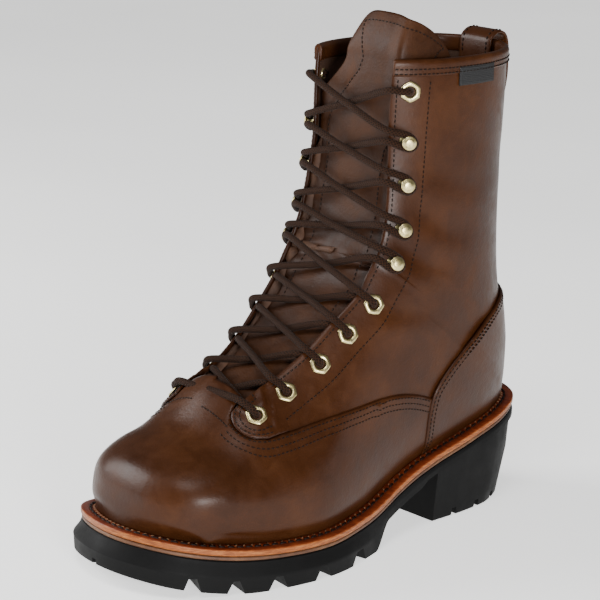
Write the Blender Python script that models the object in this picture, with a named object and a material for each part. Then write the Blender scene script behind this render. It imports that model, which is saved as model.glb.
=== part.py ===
"""Left logger boot: laced leather upper on a welted, lugged rubber sole with a tall heel block.

Sizes are in millimetres and the meshes are written in metres. +Z is up, the toe points to -Y and the
wearer's left, the outer side of a left boot, is +X. The origin is on the floor under the heel's middle.
Tables hold shares of the named sizes. "along" is a share of the length, from the back of the heel.
"""

import math

import bmesh
import bpy
import numpy as np
from mathutils import Matrix, Vector

MM = 0.001

# Driving sizes
LENGTH = 300.0
BALL_WIDTH = 120.0
SEAT_HEIGHT = 64.0
TREAD_HEIGHT = 22.4
TOE_SPRING = 10.4
TOE_HEIGHT = 50.0
SHAFT_HEIGHT = 211.0
HEEL_MIDDLE = 45.0

# Thicknesses and clearances
WALL = 2.6
OVERLAY_STEP = 1.3
OVERLAY_BEVEL = 1.2
SEAT_GAP = 0.3
WELT_THICKNESS = 4.0
MIDSOLE_THICKNESS = 2.2
INSOLE_THICKNESS = 4.0
TONGUE_THICKNESS = 3.0
WAIST_THICKNESS = 7.5
HEEL_LAYER = 5.0

# Plan insets from the welt's edge
FEATHER_INSET = 9.0
WELT_BREADTH = 24.0
MIDSOLE_INSET = 0.8
RUBBER_FLARE = 2.6
HEEL_TOP_INSET = 1.6
HEEL_GROUND_INSET = 7.0
BREAST_ALONG = 0.292
HEEL_LEAD = 0.03

# Tread
LUG_DEPTH = 7.5
HEEL_NOTCH_DEPTH = 4.5
TREAD_START = 0.455
TREAD_FLAT_START = 0.50
TREAD_FLAT_END = 0.80
TOE_CURVE = 1.8
CENTRE_CHANNEL = 7.0
CENTRE_BAR = 17.0

# Lacing
LACE_DIAMETER = 3.8
EYELET_BORE = 5.2
EYELET_BARREL = 6.6
EYELET_FLANGE = 11.6
EYELET_FLANGE_THICKNESS = 1.1
EYELET_FROM_EDGE = 11.0
HOOK_BASE = 8.6
HOOK_NECK = 3.6
HOOK_HEAD = 9.4
HOOK_BASE_THICKNESS = 0.8
HOOK_HEAD_THICKNESS = 1.5

# Tongue, loop and tag
TONGUE_OVERLAP = 9.0
TONGUE_RISE = 22.0
LOOP_WIDTH = 24.0
LOOP_THICKNESS = 2.4
TAG_LENGTH = 27.0
TAG_HEIGHT = 10.0
TAG_THICKNESS = 0.8
BINDING_HEIGHT = 6.0
BINDING_STEP = 0.8
LOBE_RADIUS = 13.0
LOBE_FADE_START = 6.0
LOBE_FADE_END = 13.0

# Edge of the welt in plan, from the back of the heel round the outer side and the toe to the inner side.
# Columns: along, share of the ball width to the outer side
WELT_EDGE = (
    (0.000, 0.000),
    (0.027, 0.215),
    (0.105, 0.325),
    (0.200, 0.350),
    (0.310, 0.362),
    (0.420, 0.400),
    (0.535, 0.478),
    (0.645, 0.535),
    (0.750, 0.520),
    (0.855, 0.448),
    (0.945, 0.325),
    (0.998, 0.110),
    (0.996, -0.120),
    (0.948, -0.338),
    (0.853, -0.446),
    (0.750, -0.470),
    (0.635, -0.442),
    (0.505, -0.370),
    (0.390, -0.312),
    (0.290, -0.302),
    (0.195, -0.318),
    (0.105, -0.308),
    (0.027, -0.212),
)

# Height of the welt's top. Columns: along, share of the heel's lift over the tread, share of the toe spring
WELT_RISE = (
    (0.00, 1.000, 0.00),
    (0.10, 0.860, 0.00),
    (0.20, 0.670, 0.00),
    (0.35, 0.400, 0.00),
    (0.50, 0.085, 0.00),
    (0.60, 0.010, 0.00),
    (0.72, 0.000, 0.01),
    (0.86, 0.000, 0.26),
    (1.00, 0.000, 1.00),
)

# Sections of the upper, fanned from the toe over the instep to the collar. Each lies in a plane through
# a lower end on the feather line or the back line and an upper end on the front line.
# bottom: lower end, share of the length in front of the feather's back end
# lean: how far the back line stands in front of that end, share of the length
# climb: height of the lower end over the feather line, share of the shaft height
# front: upper end along the length
# lift, toe, shaft: height of the upper end over the tread, as shares of heel lift, toe and shaft height
# outer, inner: half-widths, shares of the ball width
# belly: where the section is widest, share of its height
# square: exponent of the section's upper curve, 2 being an ellipse
# gap: half-width of the throat, share of the ball width
SECTION_COLUMNS = (
    "bottom", "lean", "climb", "front", "lift", "toe", "shaft", "outer", "inner", "belly", "square", "gap",
)
SECTIONS = (
    (0.855, 0.000, 0.000, 0.970, 0.00, 0.41, 0.000, 0.375, 0.333, 0.12, 2.50, 0.133),
    (0.835, 0.000, 0.000, 0.966, 0.00, 0.61, 0.000, 0.404, 0.367, 0.18, 2.50, 0.142),
    (0.810, 0.000, 0.000, 0.943, 0.00, 0.80, 0.000, 0.433, 0.392, 0.22, 2.50, 0.150),
    (0.770, 0.000, 0.000, 0.890, 0.00, 0.96, 0.000, 0.467, 0.417, 0.24, 2.40, 0.163),
    (0.720, 0.000, 0.000, 0.833, 0.00, 1.00, 0.024, 0.488, 0.429, 0.25, 2.20, 0.175),
    (0.600, 0.000, 0.000, 0.772, 0.10, 1.00, 0.087, 0.492, 0.425, 0.25, 2.00, 0.192),
    (0.503, 0.000, 0.000, 0.710, 0.20, 1.00, 0.129, 0.454, 0.379, 0.30, 2.15, 0.208),
    (0.415, 0.000, 0.000, 0.648, 0.35, 1.00, 0.168, 0.413, 0.350, 0.40, 2.45, 0.242),
    (0.320, 0.000, 0.000, 0.590, 0.50, 1.00, 0.217, 0.392, 0.350, 0.50, 2.70, 0.267),
    (0.200, 0.000, 0.000, 0.543, 0.65, 1.00, 0.254, 0.396, 0.371, 0.60, 2.70, 0.288),
    (0.090, 0.000, 0.000, 0.520, 0.80, 1.00, 0.272, 0.398, 0.383, 0.62, 2.80, 0.288),
    (0.038, 0.000, 0.000, 0.512, 0.88, 1.00, 0.275, 0.399, 0.386, 0.62, 2.85, 0.288),
    (0.012, 0.000, 0.000, 0.508, 0.95, 1.00, 0.273, 0.400, 0.388, 0.62, 2.90, 0.288),
    (0.000, 0.000, 0.000, 0.505, 1.00, 1.00, 0.270, 0.400, 0.390, 0.61, 2.90, 0.288),
    (0.000, 0.000, 0.085, 0.498, 1.00, 1.00, 0.303, 0.396, 0.392, 0.60, 2.80, 0.288),
    (0.000, 0.014, 0.199, 0.493, 1.00, 1.00, 0.351, 0.390, 0.388, 0.58, 2.60, 0.283),
    (0.000, 0.040, 0.351, 0.488, 1.00, 1.00, 0.436, 0.383, 0.377, 0.56, 2.40, 0.271),
    (0.000, 0.054, 0.526, 0.485, 1.00, 1.00, 0.536, 0.383, 0.367, 0.54, 2.25, 0.258),
    (0.000, 0.058, 0.701, 0.486, 1.00, 1.00, 0.611, 0.386, 0.362, 0.53, 2.30, 0.258),
    (0.000, 0.058, 0.863, 0.489, 1.00, 1.00, 0.682, 0.386, 0.358, 0.52, 2.35, 0.263),
    (0.000, 0.058, 1.000, 0.492, 1.00, 1.00, 0.744, 0.379, 0.350, 0.51, 2.35, 0.267),
)
LOWER_SQUARE = 2.15
THROAT_SECTION = 4.75
COLLAR_SECTION = len(SECTIONS) - 1

# Faces of half a section: below its widest place, from there to the throat's edge, and across the throat
LOWER_FACES = 4
SIDE_FACES = 5
THROAT_FACES = 3
SHAFT_SECTION = 13

# Upper edge of the vamp. Columns: along, height over the welt as a share of the toe height
VAMP_EDGE = (
    (0.300, 0.62),
    (0.363, 0.88),
    (0.423, 1.08),
    (0.477, 1.19),
    (0.553, 1.23),
    (0.633, 1.21),
    (0.707, 1.14),
    (0.767, 1.08),
    (0.820, 1.02),
)

# Front and upper edge of the heel counter. Columns: height over the seat as a share of the shaft, along
COUNTER_EDGE = (
    (-0.120, 0.322),
    (-0.050, 0.333),
    (0.033, 0.342),
    (0.090, 0.336),
    (0.142, 0.308),
    (0.194, 0.266),
    (0.242, 0.218),
    (0.284, 0.166),
    (0.308, 0.118),
    (0.322, 0.050),
    (0.328, -0.030),
)

# Lace stations up the throat. Columns: section number, kind
STATIONS = (
    (5.05, "eyelet"),
    (6.05, "eyelet"),
    (7.10, "eyelet"),
    (8.05, "eyelet"),
    (9.10, "eyelet"),
    (13.40, "hook"),
    (15.20, "hook"),
    (16.40, "hook"),
    (17.50, "hook"),
    (19.00, "eyelet"),
)

# Grooves of the forefoot tread. Columns: along, side, breadth at the ground, skew in degrees
GROOVES = (
    (0.916, 1, 8.5, -24.0),
    (0.843, 1, 7.5, -14.0),
    (0.765, 1, 8.5, -8.0),
    (0.672, 1, 8.5, 0.0),
    (0.573, 1, 11.0, 10.0),
    (0.893, -1, 8.5, 24.0),
    (0.822, -1, 7.5, 14.0),
    (0.748, -1, 8.5, 8.0),
    (0.662, -1, 8.5, 0.0),
    (0.575, -1, 11.0, -10.0),
)
# A groove is wider at the ground and narrower at its top than its middle breadth, and runs out past the edge
GROOVE_WIDER = 5.0
GROOVE_NARROWER = 4.0
GROOVE_REACH = 16.0
# Small cut in the front of the toe: place across, length, breadth at the ground and above, depth
TOE_CUT = (-3.5, 12.0, 7.0, 3.0, 3.0)
# Cross cuts of the middle bars: along
CENTRE_CUTS = (0.860, 0.730, 0.640, 0.540)
# Notches round the heel's ground edge: along, side (0 is the back)
HEEL_NOTCHES = ((0.230, 1), (0.158, 1), (0.095, 1), (0.230, -1), (0.158, -1), (0.095, -1), (0.020, 0))
# Length, breadth at the ground and breadth above of a middle cut and of a heel notch
CENTRE_CUT_SIZES = (37.4, 8.0, 6.0)
HEEL_NOTCH_SIZES = (20.0, 5.5, 3.5)
# Share of the heel's taper that its sides have beside the breast
BREAST_TAPER = 0.4

# Path of the pull loop up the inside of the back and down its outside.
# Columns: distance behind the back's outer face, height over the collar's back
LOOP_PATH = (
    (-7.2, -26.0),
    (-7.2, -12.0),
    (-7.2, -2.0),
    (-6.2, 2.6),
    (-1.2, 5.8),
    (4.6, 4.8),
    (7.6, -0.5),
    (8.6, -9.0),
    (8.8, -20.0),
    (6.8, -31.0),
    (3.4, -40.0),
    (1.8, -47.0),
    (1.6, -56.0),
)


def clear_scene():
    for old in list(bpy.data.objects):
        bpy.data.objects.remove(old, do_unlink=True)


def material(name, colour, roughness, metallic=0.0):
    made = bpy.data.materials.new(name)
    made.use_nodes = True
    shader = made.node_tree.nodes["Principled BSDF"]
    shader.inputs["Base Color"].default_value = (*colour, 1.0)
    shader.inputs["Roughness"].default_value = roughness
    shader.inputs["Metallic"].default_value = metallic
    return made


def add_object(name, points, faces, finish, smooth_angle=40.0):
    """A closed mesh of points in millimetres, its faces turned outward."""
    mesh = bpy.data.meshes.new(name)
    mesh.from_pydata([tuple(float(c) * MM for c in point) for point in points], [], faces)
    body = bmesh.new()
    body.from_mesh(mesh)
    bmesh.ops.recalc_face_normals(body, faces=body.faces)
    body.to_mesh(mesh)
    body.free()
    mesh.shade_smooth()
    mesh.set_sharp_from_angle(angle=math.radians(smooth_angle))
    made = bpy.data.objects.new(name, mesh)
    made.data.materials.append(finish)
    bpy.context.scene.collection.objects.link(made)
    return made


def cut(target, cutters):
    """Takes closed cutter objects out of the target."""
    for cutter in cutters:
        cutter.hide_render = True
        cutter.display_type = "WIRE"
        boolean = target.modifiers.new(cutter.name, "BOOLEAN")
        boolean.object = cutter
        boolean.operation = "DIFFERENCE"
        boolean.solver = "EXACT"


def ease(value):
    """Smooth step from 0 to 1."""
    value = np.clip(value, 0.0, 1.0)
    return value * value * (3.0 - 2.0 * value)


def cubic(before, start, end, after, share):
    """Smooth curve from start to end whose end slopes are half the step between their neighbours."""
    slope_start = (end - before) / 2.0
    slope_end = (after - start) / 2.0
    square = share * share
    cube = square * share
    return (
        (2 * cube - 3 * square + 1) * start
        + (cube - 2 * square + share) * slope_start
        + (3 * square - 2 * cube) * end
        + (cube - square) * slope_end
    )


def column_curve(values, place):
    """Smooth curve through values numbered 0, 1, 2 and so on."""
    values = np.asarray(values, float)
    last = len(values) - 1
    place = np.clip(np.asarray(place, float), 0.0, last)
    number = np.minimum(place.astype(int), last - 1)
    padded = np.concatenate([[2 * values[0] - values[1]], values, [2 * values[-1] - values[-2]]])
    return cubic(padded[number], padded[number + 1], padded[number + 2], padded[number + 3], place - number)


def table_curve(places, values, place):
    """Smooth curve through values at uneven places."""
    places = np.asarray(places, float)
    values = np.asarray(values, float)
    slopes = np.gradient(values, places)
    place = np.clip(np.asarray(place, float), places[0], places[-1])
    number = np.clip(np.searchsorted(places, place, side="right") - 1, 0, len(places) - 2)
    span = places[number + 1] - places[number]
    share = (place - places[number]) / span
    square = share * share
    cube = square * share
    return (
        (2 * cube - 3 * square + 1) * values[number]
        + (cube - 2 * square + share) * span * slopes[number]
        + (3 * square - 2 * cube) * values[number + 1]
        + (cube - square) * span * slopes[number + 1]
    )


def y_at(along):
    return HEEL_MIDDLE - along * LENGTH


def along_at(y):
    return (HEEL_MIDDLE - y) / LENGTH


def welt_top(along):
    """Height of the welt's upper face."""
    rows = np.array(WELT_RISE)
    lift = table_curve(rows[:, 0], rows[:, 1], along)
    spring = table_curve(rows[:, 0], rows[:, 2], along)
    return TREAD_HEIGHT + lift * (SEAT_HEIGHT - TREAD_HEIGHT) + spring * TOE_SPRING


def midsole_top(along):
    return welt_top(along) - WELT_THICKNESS - SEAT_GAP


def rubber_top(along):
    return midsole_top(along) - MIDSOLE_THICKNESS - SEAT_GAP


def ground(along):
    """Height of the tread's underside, flat under the ball and raised at the toe."""
    ahead = np.clip((along - TREAD_FLAT_END) / (1.0 - TREAD_FLAT_END), 0.0, None)
    return TOE_SPRING * ahead ** TOE_CURVE


def rubber_underside(along):
    """Underside of the rubber: layer over the heel, thin waist, then down to the tread."""
    waist = ease((along - BREAST_ALONG - HEEL_LEAD) / HEEL_LEAD)
    under = rubber_top(along) - HEEL_LAYER - (WAIST_THICKNESS - HEEL_LAYER) * waist
    down = ease((along - TREAD_START) / (TREAD_FLAT_START - TREAD_START))
    return under + (ground(along) - under) * down


def plan_loop(count, inset=0.0):
    """Points of the welt's edge in plan, moved inward. Points i and count - i face each other."""
    rows = np.array(WELT_EDGE)
    total = len(rows)
    place = np.arange(count) * total / count
    number = place.astype(int)
    share = (place - number)[:, None]
    before, start, end, after = (rows[(number + step) % total] for step in (-1, 0, 1, 2))
    edge = cubic(before, start, end, after, share)
    points = np.column_stack([edge[:, 1] * BALL_WIDTH, y_at(edge[:, 0])])
    tangent = np.roll(points, -1, axis=0) - np.roll(points, 1, axis=0)
    inward = np.column_stack([tangent[:, 1], -tangent[:, 0]])
    inward /= np.linalg.norm(inward, axis=1)[:, None]
    inset = np.broadcast_to(np.asarray(inset, float), (count,))
    return points + inward * inset[:, None]


def lift_loop(loop, height):
    """Gives plan points the height that belongs to their place along the shoe."""
    return np.column_stack([loop, height(along_at(loop[:, 1]))])


def stack_faces(count, levels, closed):
    """Side faces between levels of a loop, and caps of facing pairs of points, or a closed ring."""
    faces = []
    for level in range(levels if closed else levels - 1):
        for i in range(count):
            j = (i + 1) % count
            low = level * count
            high = (level + 1) % levels * count
            faces.append((low + i, low + j, high + j, high + i))
    if not closed:
        for cap in (0, (levels - 1) * count):
            faces.append((cap, cap + 1, cap + count - 1))
            for i in range(1, count // 2 - 1):
                faces.append((cap + i, cap + i + 1, cap + count - i - 1, cap + count - i))
            half = count // 2
            faces.append((cap + half - 1, cap + half, cap + half + 1))
    return faces


def feather_loop(count=460):
    return plan_loop(count, FEATHER_INSET)


FEATHER = feather_loop()
FEATHER_TIP = int(np.argmin(FEATHER[:, 1]))


def feather_half_width(y, side):
    """Half-width of the feather line at a place along the shoe."""
    if side > 0:
        run = FEATHER[: FEATHER_TIP + 1]
    else:
        run = np.vstack([FEATHER[FEATHER_TIP:], FEATHER[:1]])[::-1]
    return float(np.interp(-y, -run[:, 1], side * run[:, 0]))


def section_values(number):
    rows = np.array(SECTIONS)
    values = {name: float(column_curve(rows[:, i], number)) for i, name in enumerate(SECTION_COLUMNS)}
    values["bottom"] = max(values["bottom"], 0.0)
    return values


def section_half(number, side, lower=LOWER_FACES, flank=SIDE_FACES, top=THROAT_FACES):
    """Half a section, from its lower end to the front line, as points in space.

    Above its widest place the curve is a quarter of a superellipse. Below it is the part of another
    one that ends on the feather line, or on the back line where that half closes.
    """
    row = section_values(number)
    foot_y = HEEL_MIDDLE - FEATHER_INSET - (row["bottom"] + row["lean"]) * LENGTH
    feather_y = HEEL_MIDDLE - FEATHER_INSET - row["bottom"] * LENGTH
    foot_z = float(welt_top(along_at(feather_y))) + SEAT_GAP + row["climb"] * SHAFT_HEIGHT
    head_y = y_at(row["front"])
    head_z = TREAD_HEIGHT + row["lift"] * (SEAT_HEIGHT - TREAD_HEIGHT)
    head_z += row["toe"] * TOE_HEIGHT + row["shaft"] * SHAFT_HEIGHT
    foot_width = feather_half_width(feather_y, side) if row["bottom"] > 0.0 else 0.0
    foot_width = max(foot_width, 0.0)
    width = (row["outer"] if side > 0 else row["inner"]) * BALL_WIDTH
    width = max(width, 1.02 * foot_width)
    height = math.hypot(head_y - foot_y, head_z - foot_z)
    rise = np.array([0.0, (head_y - foot_y) / height, (head_z - foot_z) / height])
    belly = row["belly"] * height
    end = math.acos(min((foot_width / width) ** (LOWER_SQUARE / 2.0), 1.0))
    depth = belly / math.sin(end) ** (2.0 / LOWER_SQUARE)
    turn = end * (1.0 - np.arange(lower) / lower)
    low_x = width * np.cos(turn) ** (2.0 / LOWER_SQUARE)
    low_u = belly - depth * np.sin(turn) ** (2.0 / LOWER_SQUARE)
    square = row["square"]
    gap = row["gap"] * BALL_WIDTH
    edge = math.acos((gap / width) ** (square / 2.0))
    turn = np.concatenate([edge * np.arange(flank) / flank, edge + (math.pi / 2 - edge) * np.arange(top + 1) / top])
    high_x = width * np.clip(np.cos(turn), 0.0, 1.0) ** (2.0 / square)
    high_u = belly + (height - belly) * np.sin(turn) ** (2.0 / square)
    across = np.concatenate([low_x, high_x])
    up = np.concatenate([low_u, high_u])
    across[-1] = 0.0
    foot = np.array([0.0, foot_y, foot_z])
    return foot + np.outer(up, rise) + np.outer(side * across, [1.0, 0.0, 0.0])


def toe_row(first_outer, first_inner):
    """The feather line round the toe, with points spaced as in the first section."""
    halves = []
    for side, first in ((1, first_outer), (-1, first_inner)):
        run = FEATHER[: FEATHER_TIP + 1] if side > 0 else FEATHER[FEATHER_TIP:][::-1]
        run = run[run[:, 1] <= first[0, 1] + 0.01]
        lengths = np.concatenate([[0.0], np.cumsum(np.linalg.norm(np.diff(run, axis=0), axis=1))])
        steps = np.concatenate([[0.0], np.cumsum(np.linalg.norm(np.diff(first, axis=0), axis=1))])
        wanted = steps / steps[-1] * lengths[-1]
        x = np.interp(wanted, lengths, run[:, 0])
        y = np.interp(wanted, lengths, run[:, 1])
        halves.append(np.column_stack([x, y, welt_top(along_at(y)) + SEAT_GAP]))
    return halves


def vamp_distance(point, lobe):
    """Distance from the quarter's edge in the wall: under 0 on the quarter, over 0 on the vamp."""
    rows = np.array(VAMP_EDGE)
    along = along_at(point[1])
    edge = float(welt_top(along)) + float(table_curve(rows[:, 0], rows[:, 1], along)) * TOE_HEIGHT
    band = max(edge - point[2], (along - along_at(lobe[1])) * LENGTH)
    return min(float(np.linalg.norm(point - lobe)) - LOBE_RADIUS, band)


def counter_distance(point):
    """Distance from the counter's edge: under 0 on the counter."""
    rows = np.array(COUNTER_EDGE)
    height = (point[2] - SEAT_HEIGHT) / SHAFT_HEIGHT
    step = 0.01
    edge = float(table_curve(rows[:, 0], rows[:, 1], height))
    slope = (float(table_curve(rows[:, 0], rows[:, 1], height + step)) - edge) / step * LENGTH / SHAFT_HEIGHT
    if height > rows[-1, 0]:
        return (height - rows[-1, 0]) * SHAFT_HEIGHT
    return (along_at(point[1]) - edge) * LENGTH / math.hypot(1.0, slope)


def collar_height(y):
    """Height of the collar's edge, straight from the front to the back."""
    front = section_half(COLLAR_SECTION, 1)[-1]
    back = section_half(COLLAR_SECTION, 1)[0]
    return front[2] + (back[2] - front[2]) * (y - front[1]) / (back[1] - front[1])


def overlay_step(point, lobe):
    """How far the wall's outer face stands over the quarter's own face."""
    vamp = vamp_distance(point, lobe)
    counter = counter_distance(point)
    on_vamp = min(max(vamp / OVERLAY_BEVEL, 0.0), 1.0)
    on_counter = min(max(-counter / OVERLAY_BEVEL, 0.0), 1.0)
    on_lobe = float(ease((lobe[1] + LOBE_FADE_END - point[1]) / (LOBE_FADE_END - LOBE_FADE_START)))
    step = OVERLAY_STEP * on_vamp + 2.0 * OVERLAY_STEP * on_lobe * (1.0 - on_vamp)
    step += (1.8 * OVERLAY_STEP - step) * on_counter
    below = collar_height(point[1]) - BINDING_HEIGHT - point[2]
    return step + BINDING_STEP * min(max(-below / BINDING_STEP, 0.0), 1.0)


def score(body, distance, level):
    """Cuts the faces of a mesh along the line where a distance has the given value."""
    near = 0.6
    value = {vert: distance(vert) - level for vert in body.verts}
    for vert in body.verts:
        if abs(value[vert]) < near:
            value[vert] = 0.0
    for edge in list(body.edges):
        first, second = edge.verts
        start, end = value[first], value[second]
        if start * end < 0.0:
            new_vert = bmesh.utils.edge_split(edge, first, start / (start - end))[1]
            value[new_vert] = 0.0
    for face in list(body.faces):
        on_line = [vert for vert in face.verts if value[vert] == 0.0]
        if len(on_line) != 2:
            continue
        sides = {value[vert] > 0.0 for vert in face.verts if value[vert] != 0.0}
        if len(sides) == 2:
            bmesh.utils.face_split(face, on_line[0], on_line[1])


def on_upper(number, side, from_edge, samples=60):
    """Point of the upper's face at a distance below the throat's edge, its outward normal and its up direction."""

    def point_at(place):
        curve = section_half(place, side, samples, samples, samples)
        flank = curve[: 2 * samples + 1][::-1]
        steps = np.concatenate([[0.0], np.cumsum(np.linalg.norm(np.diff(flank, axis=0), axis=1))])
        spot = np.array([np.interp(from_edge, steps, flank[:, i]) for i in range(3)])
        ahead = np.array([np.interp(from_edge + 0.5, steps, flank[:, i]) for i in range(3)])
        return spot, ahead - spot

    number = min(number, COLLAR_SECTION - 0.05)
    spot, down = point_at(number)
    upward = point_at(number + 0.05)[0] - spot
    normal = np.cross(upward, down) * -side
    return spot, normal / np.linalg.norm(normal), upward / np.linalg.norm(upward)


def build_upper(leather):
    """One hollow wall, open along the feather, at the throat and at the collar, with its overlays as steps."""
    foot_numbers = np.arange(2 * SHAFT_SECTION) / 2.0
    shaft_numbers = np.arange(SHAFT_SECTION, COLLAR_SECTION + 1)
    numbers = np.sort(np.concatenate([foot_numbers, shaft_numbers, [THROAT_SECTION]]))
    halves = [(section_half(number, 1), section_half(number, -1)) for number in numbers]
    halves.insert(0, toe_row(*halves[0]))
    numbers = np.insert(numbers, 0, -1.0)
    width = len(halves[0][0])
    rows = [np.vstack([outer, inner[:-1][::-1]]) for outer, inner in halves]
    across = len(rows[0])
    throat_first = width - 1 - THROAT_FACES
    throat_last = width - 1 + THROAT_FACES
    body = bmesh.new()
    verts = [[body.verts.new(point) for point in row] for row in rows]
    for i in range(len(rows) - 1):
        for j in range(across - 1):
            in_throat = numbers[i] >= THROAT_SECTION - 1e-6 and throat_first <= j < throat_last
            if not in_throat:
                body.faces.new((verts[i][j], verts[i][j + 1], verts[i + 1][j + 1], verts[i + 1][j]))
    bmesh.ops.remove_doubles(body, verts=body.verts, dist=0.01)
    loose = [vert for vert in body.verts if not vert.link_faces]
    bmesh.ops.delete(body, geom=loose, context="VERTS")
    lobes = {side: on_upper(STATIONS[0][0], side, EYELET_FROM_EDGE)[0] for side in (1, -1)}

    def lobe_of(point):
        return lobes[1 if point[0] >= 0.0 else -1]

    def vamp_at(vert):
        point = np.array(vert.co)
        return vamp_distance(point, lobe_of(point))

    def counter_at(vert):
        return counter_distance(np.array(vert.co))

    def binding_at(vert):
        return collar_height(vert.co.y) - BINDING_HEIGHT - vert.co.z

    for distance, level in (
        (vamp_at, 0.0),
        (vamp_at, OVERLAY_BEVEL),
        (counter_at, 0.0),
        (counter_at, -OVERLAY_BEVEL),
        (binding_at, 0.0),
        (binding_at, -BINDING_STEP),
    ):
        score(body, distance, level)
    bmesh.ops.triangulate(body, faces=body.faces)
    bmesh.ops.recalc_face_normals(body, faces=body.faces)
    body.normal_update()
    middle = np.array([0.0, y_at(0.3), SEAT_HEIGHT + SHAFT_HEIGHT / 2])
    outward = sum((vert.co - Vector(middle)).dot(vert.normal) for vert in body.verts)
    if outward < 0.0:
        bmesh.ops.reverse_faces(body, faces=body.faces)
        body.normal_update()
    body.verts.index_update()
    points = np.array([vert.co for vert in body.verts])
    normals = np.array([vert.normal for vert in body.verts])
    ends = {vert.index for edge in body.edges if edge.is_boundary for vert in edge.verts}
    flat = {i for i in ends if points[i][2] < welt_top(along_at(points[i][1])) + 3 * SEAT_GAP}
    for i in flat:
        normals[i][2] = 0.0
        normals[i] /= np.linalg.norm(normals[i])
    collar = {i for i in ends if points[i][2] > collar_height(points[i][1]) - SEAT_GAP}
    for i in collar:
        normals[i][2] = 0.0
        normals[i] /= np.linalg.norm(normals[i])
    raised = np.array([overlay_step(point, lobe_of(point)) for point in points])
    outer = points + normals * raised[:, None]
    inner = points - normals * WALL
    for face in (outer, inner):
        lowest = welt_top(along_at(face[:, 1])) + SEAT_GAP
        face[:, 2] = np.maximum(face[:, 2], lowest)
        for i in flat:
            face[i, 2] = lowest[i]
    faces = [tuple(vert.index for vert in face.verts) for face in body.faces]
    total = len(points)
    solid = faces + [tuple(total + i for i in reversed(face)) for face in faces]
    for edge in body.edges:
        if edge.is_boundary:
            loop = edge.link_loops[0]
            start, end = loop.vert.index, loop.link_loop_next.vert.index
            solid.append((end, start, total + start, total + end))
    body.free()
    upper = add_object("upper", np.vstack([outer, inner]), solid, leather)
    holes = []
    for count, (number, kind) in enumerate(STATIONS, 1):
        for side in (1, -1):
            if kind == "eyelet":
                spot, normal, _ = on_upper(number, side, EYELET_FROM_EDGE)
                reach = 4.0 * WALL
                hole = turned(
                    f"eyelet_hole_{count}_{side}",
                    ((0.0, -reach), (EYELET_BARREL / 2 + SEAT_GAP, -reach), (EYELET_BARREL / 2 + SEAT_GAP, reach), (0.0, reach)),
                    spot, normal, leather, sides=12,
                )
                holes.append(hole)
    cut(upper, holes)
    return upper


def turned(name, profile, spot, axis, finish, sides=12, ring=None, phase=0.0):
    """A body turned about an axis. The profile is (radius, height) from one end of the axis to the other,
    and ring, where given, closes it round a bore."""
    axis = np.asarray(axis, float) / np.linalg.norm(axis)
    helper = np.array([0.0, 0.0, 1.0]) if abs(axis[2]) < 0.9 else np.array([0.0, 1.0, 0.0])
    first = np.cross(helper, axis)
    first /= np.linalg.norm(first)
    second = np.cross(axis, first)
    angles = phase + np.arange(sides) * 2 * math.pi / sides
    points, rings = [], []
    for radius, height in profile:
        if radius == 0.0:
            rings.append([len(points)])
            points.append(spot + axis * height)
            continue
        rings.append(list(range(len(points), len(points) + sides)))
        for angle in angles:
            points.append(spot + axis * height + (first * math.cos(angle) + second * math.sin(angle)) * radius)
    faces = []
    pairs = list(zip(rings, rings[1:]))
    if ring:
        pairs.append((rings[-1], rings[0]))
    for low, high in pairs:
        for i in range(sides):
            j = (i + 1) % sides
            corners = (low[i % len(low)], low[j % len(low)], high[j % len(high)], high[i % len(high)])
            faces.append(tuple(dict.fromkeys(corners)))
    return add_object(name, points, faces, finish)


def seat_of(spot, side):
    """Height of a fastening's seat over the quarter's own face."""
    lobe = on_upper(STATIONS[0][0], side, EYELET_FROM_EDGE)[0]
    return overlay_step(spot, lobe) + 2 * SEAT_GAP


def build_eyelet(name, spot, normal, seat, brass):
    """Six-sided flange on the leather and a round barrel through it."""
    bore = EYELET_BORE / 2
    barrel = EYELET_BARREL / 2
    flange = EYELET_FLANGE / 2
    top = seat + EYELET_FLANGE_THICKNESS
    foot = -WALL - SEAT_GAP
    made = turned(
        name,
        ((barrel, foot), (barrel, seat), (flange, seat), (flange, seat + 0.5), (bore, top), (bore, foot)),
        spot, normal, brass, sides=12, ring=True,
    )
    hexagon = math.cos(math.pi / 6)
    axis = np.asarray(normal)
    centre = np.asarray(spot)
    for number, vert in enumerate(made.data.vertices):
        level = number // 12
        if level in (2, 3) and number % 2:
            point = np.array(vert.co) / MM - centre
            along_axis = axis * point.dot(axis)
            vert.co = Vector((centre + along_axis + (point - along_axis) * hexagon) * MM)
    return made


def build_hook(name, spot, normal, seat, brass):
    """Speed hook: a base on the leather, a neck for the lace and a domed head."""
    base = HOOK_BASE / 2
    neck = HOOK_NECK / 2
    head = HOOK_HEAD / 2
    low = seat + HOOK_BASE_THICKNESS
    high = low + LACE_DIAMETER + 2 * SEAT_GAP
    top = high + HOOK_HEAD_THICKNESS
    return turned(
        name,
        ((0.0, seat), (base, seat), (base, low), (neck, low), (neck, high), (head, high), (head, high + 0.6), (head * 0.6, top), (0.0, top)),
        spot, normal, brass, sides=10,
    )


def throat_frame(number):
    """Edge points of the throat on both sides at a section, and the section's up direction."""
    outer = section_half(number, 1)
    inner = section_half(number, -1)
    edge = LOWER_FACES + SIDE_FACES
    up = outer[-1] - (outer[edge] + inner[edge]) / 2
    return outer[edge], inner[edge], up / np.linalg.norm(up)


TONGUE_START = THROAT_SECTION + 0.1
TONGUE_SINK = 3.2
# Columns: share of the way up the tongue, depth of its side edges under the upper's wall
TONGUE_TUCK = ((0.0, 1.1), (0.08, 2.9), (0.9, 3.1), (1.0, 3.1))
TONGUE_ROWS = 17
TONGUE_FREE_ROWS = 4
TONGUE_ACROSS = 3


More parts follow.
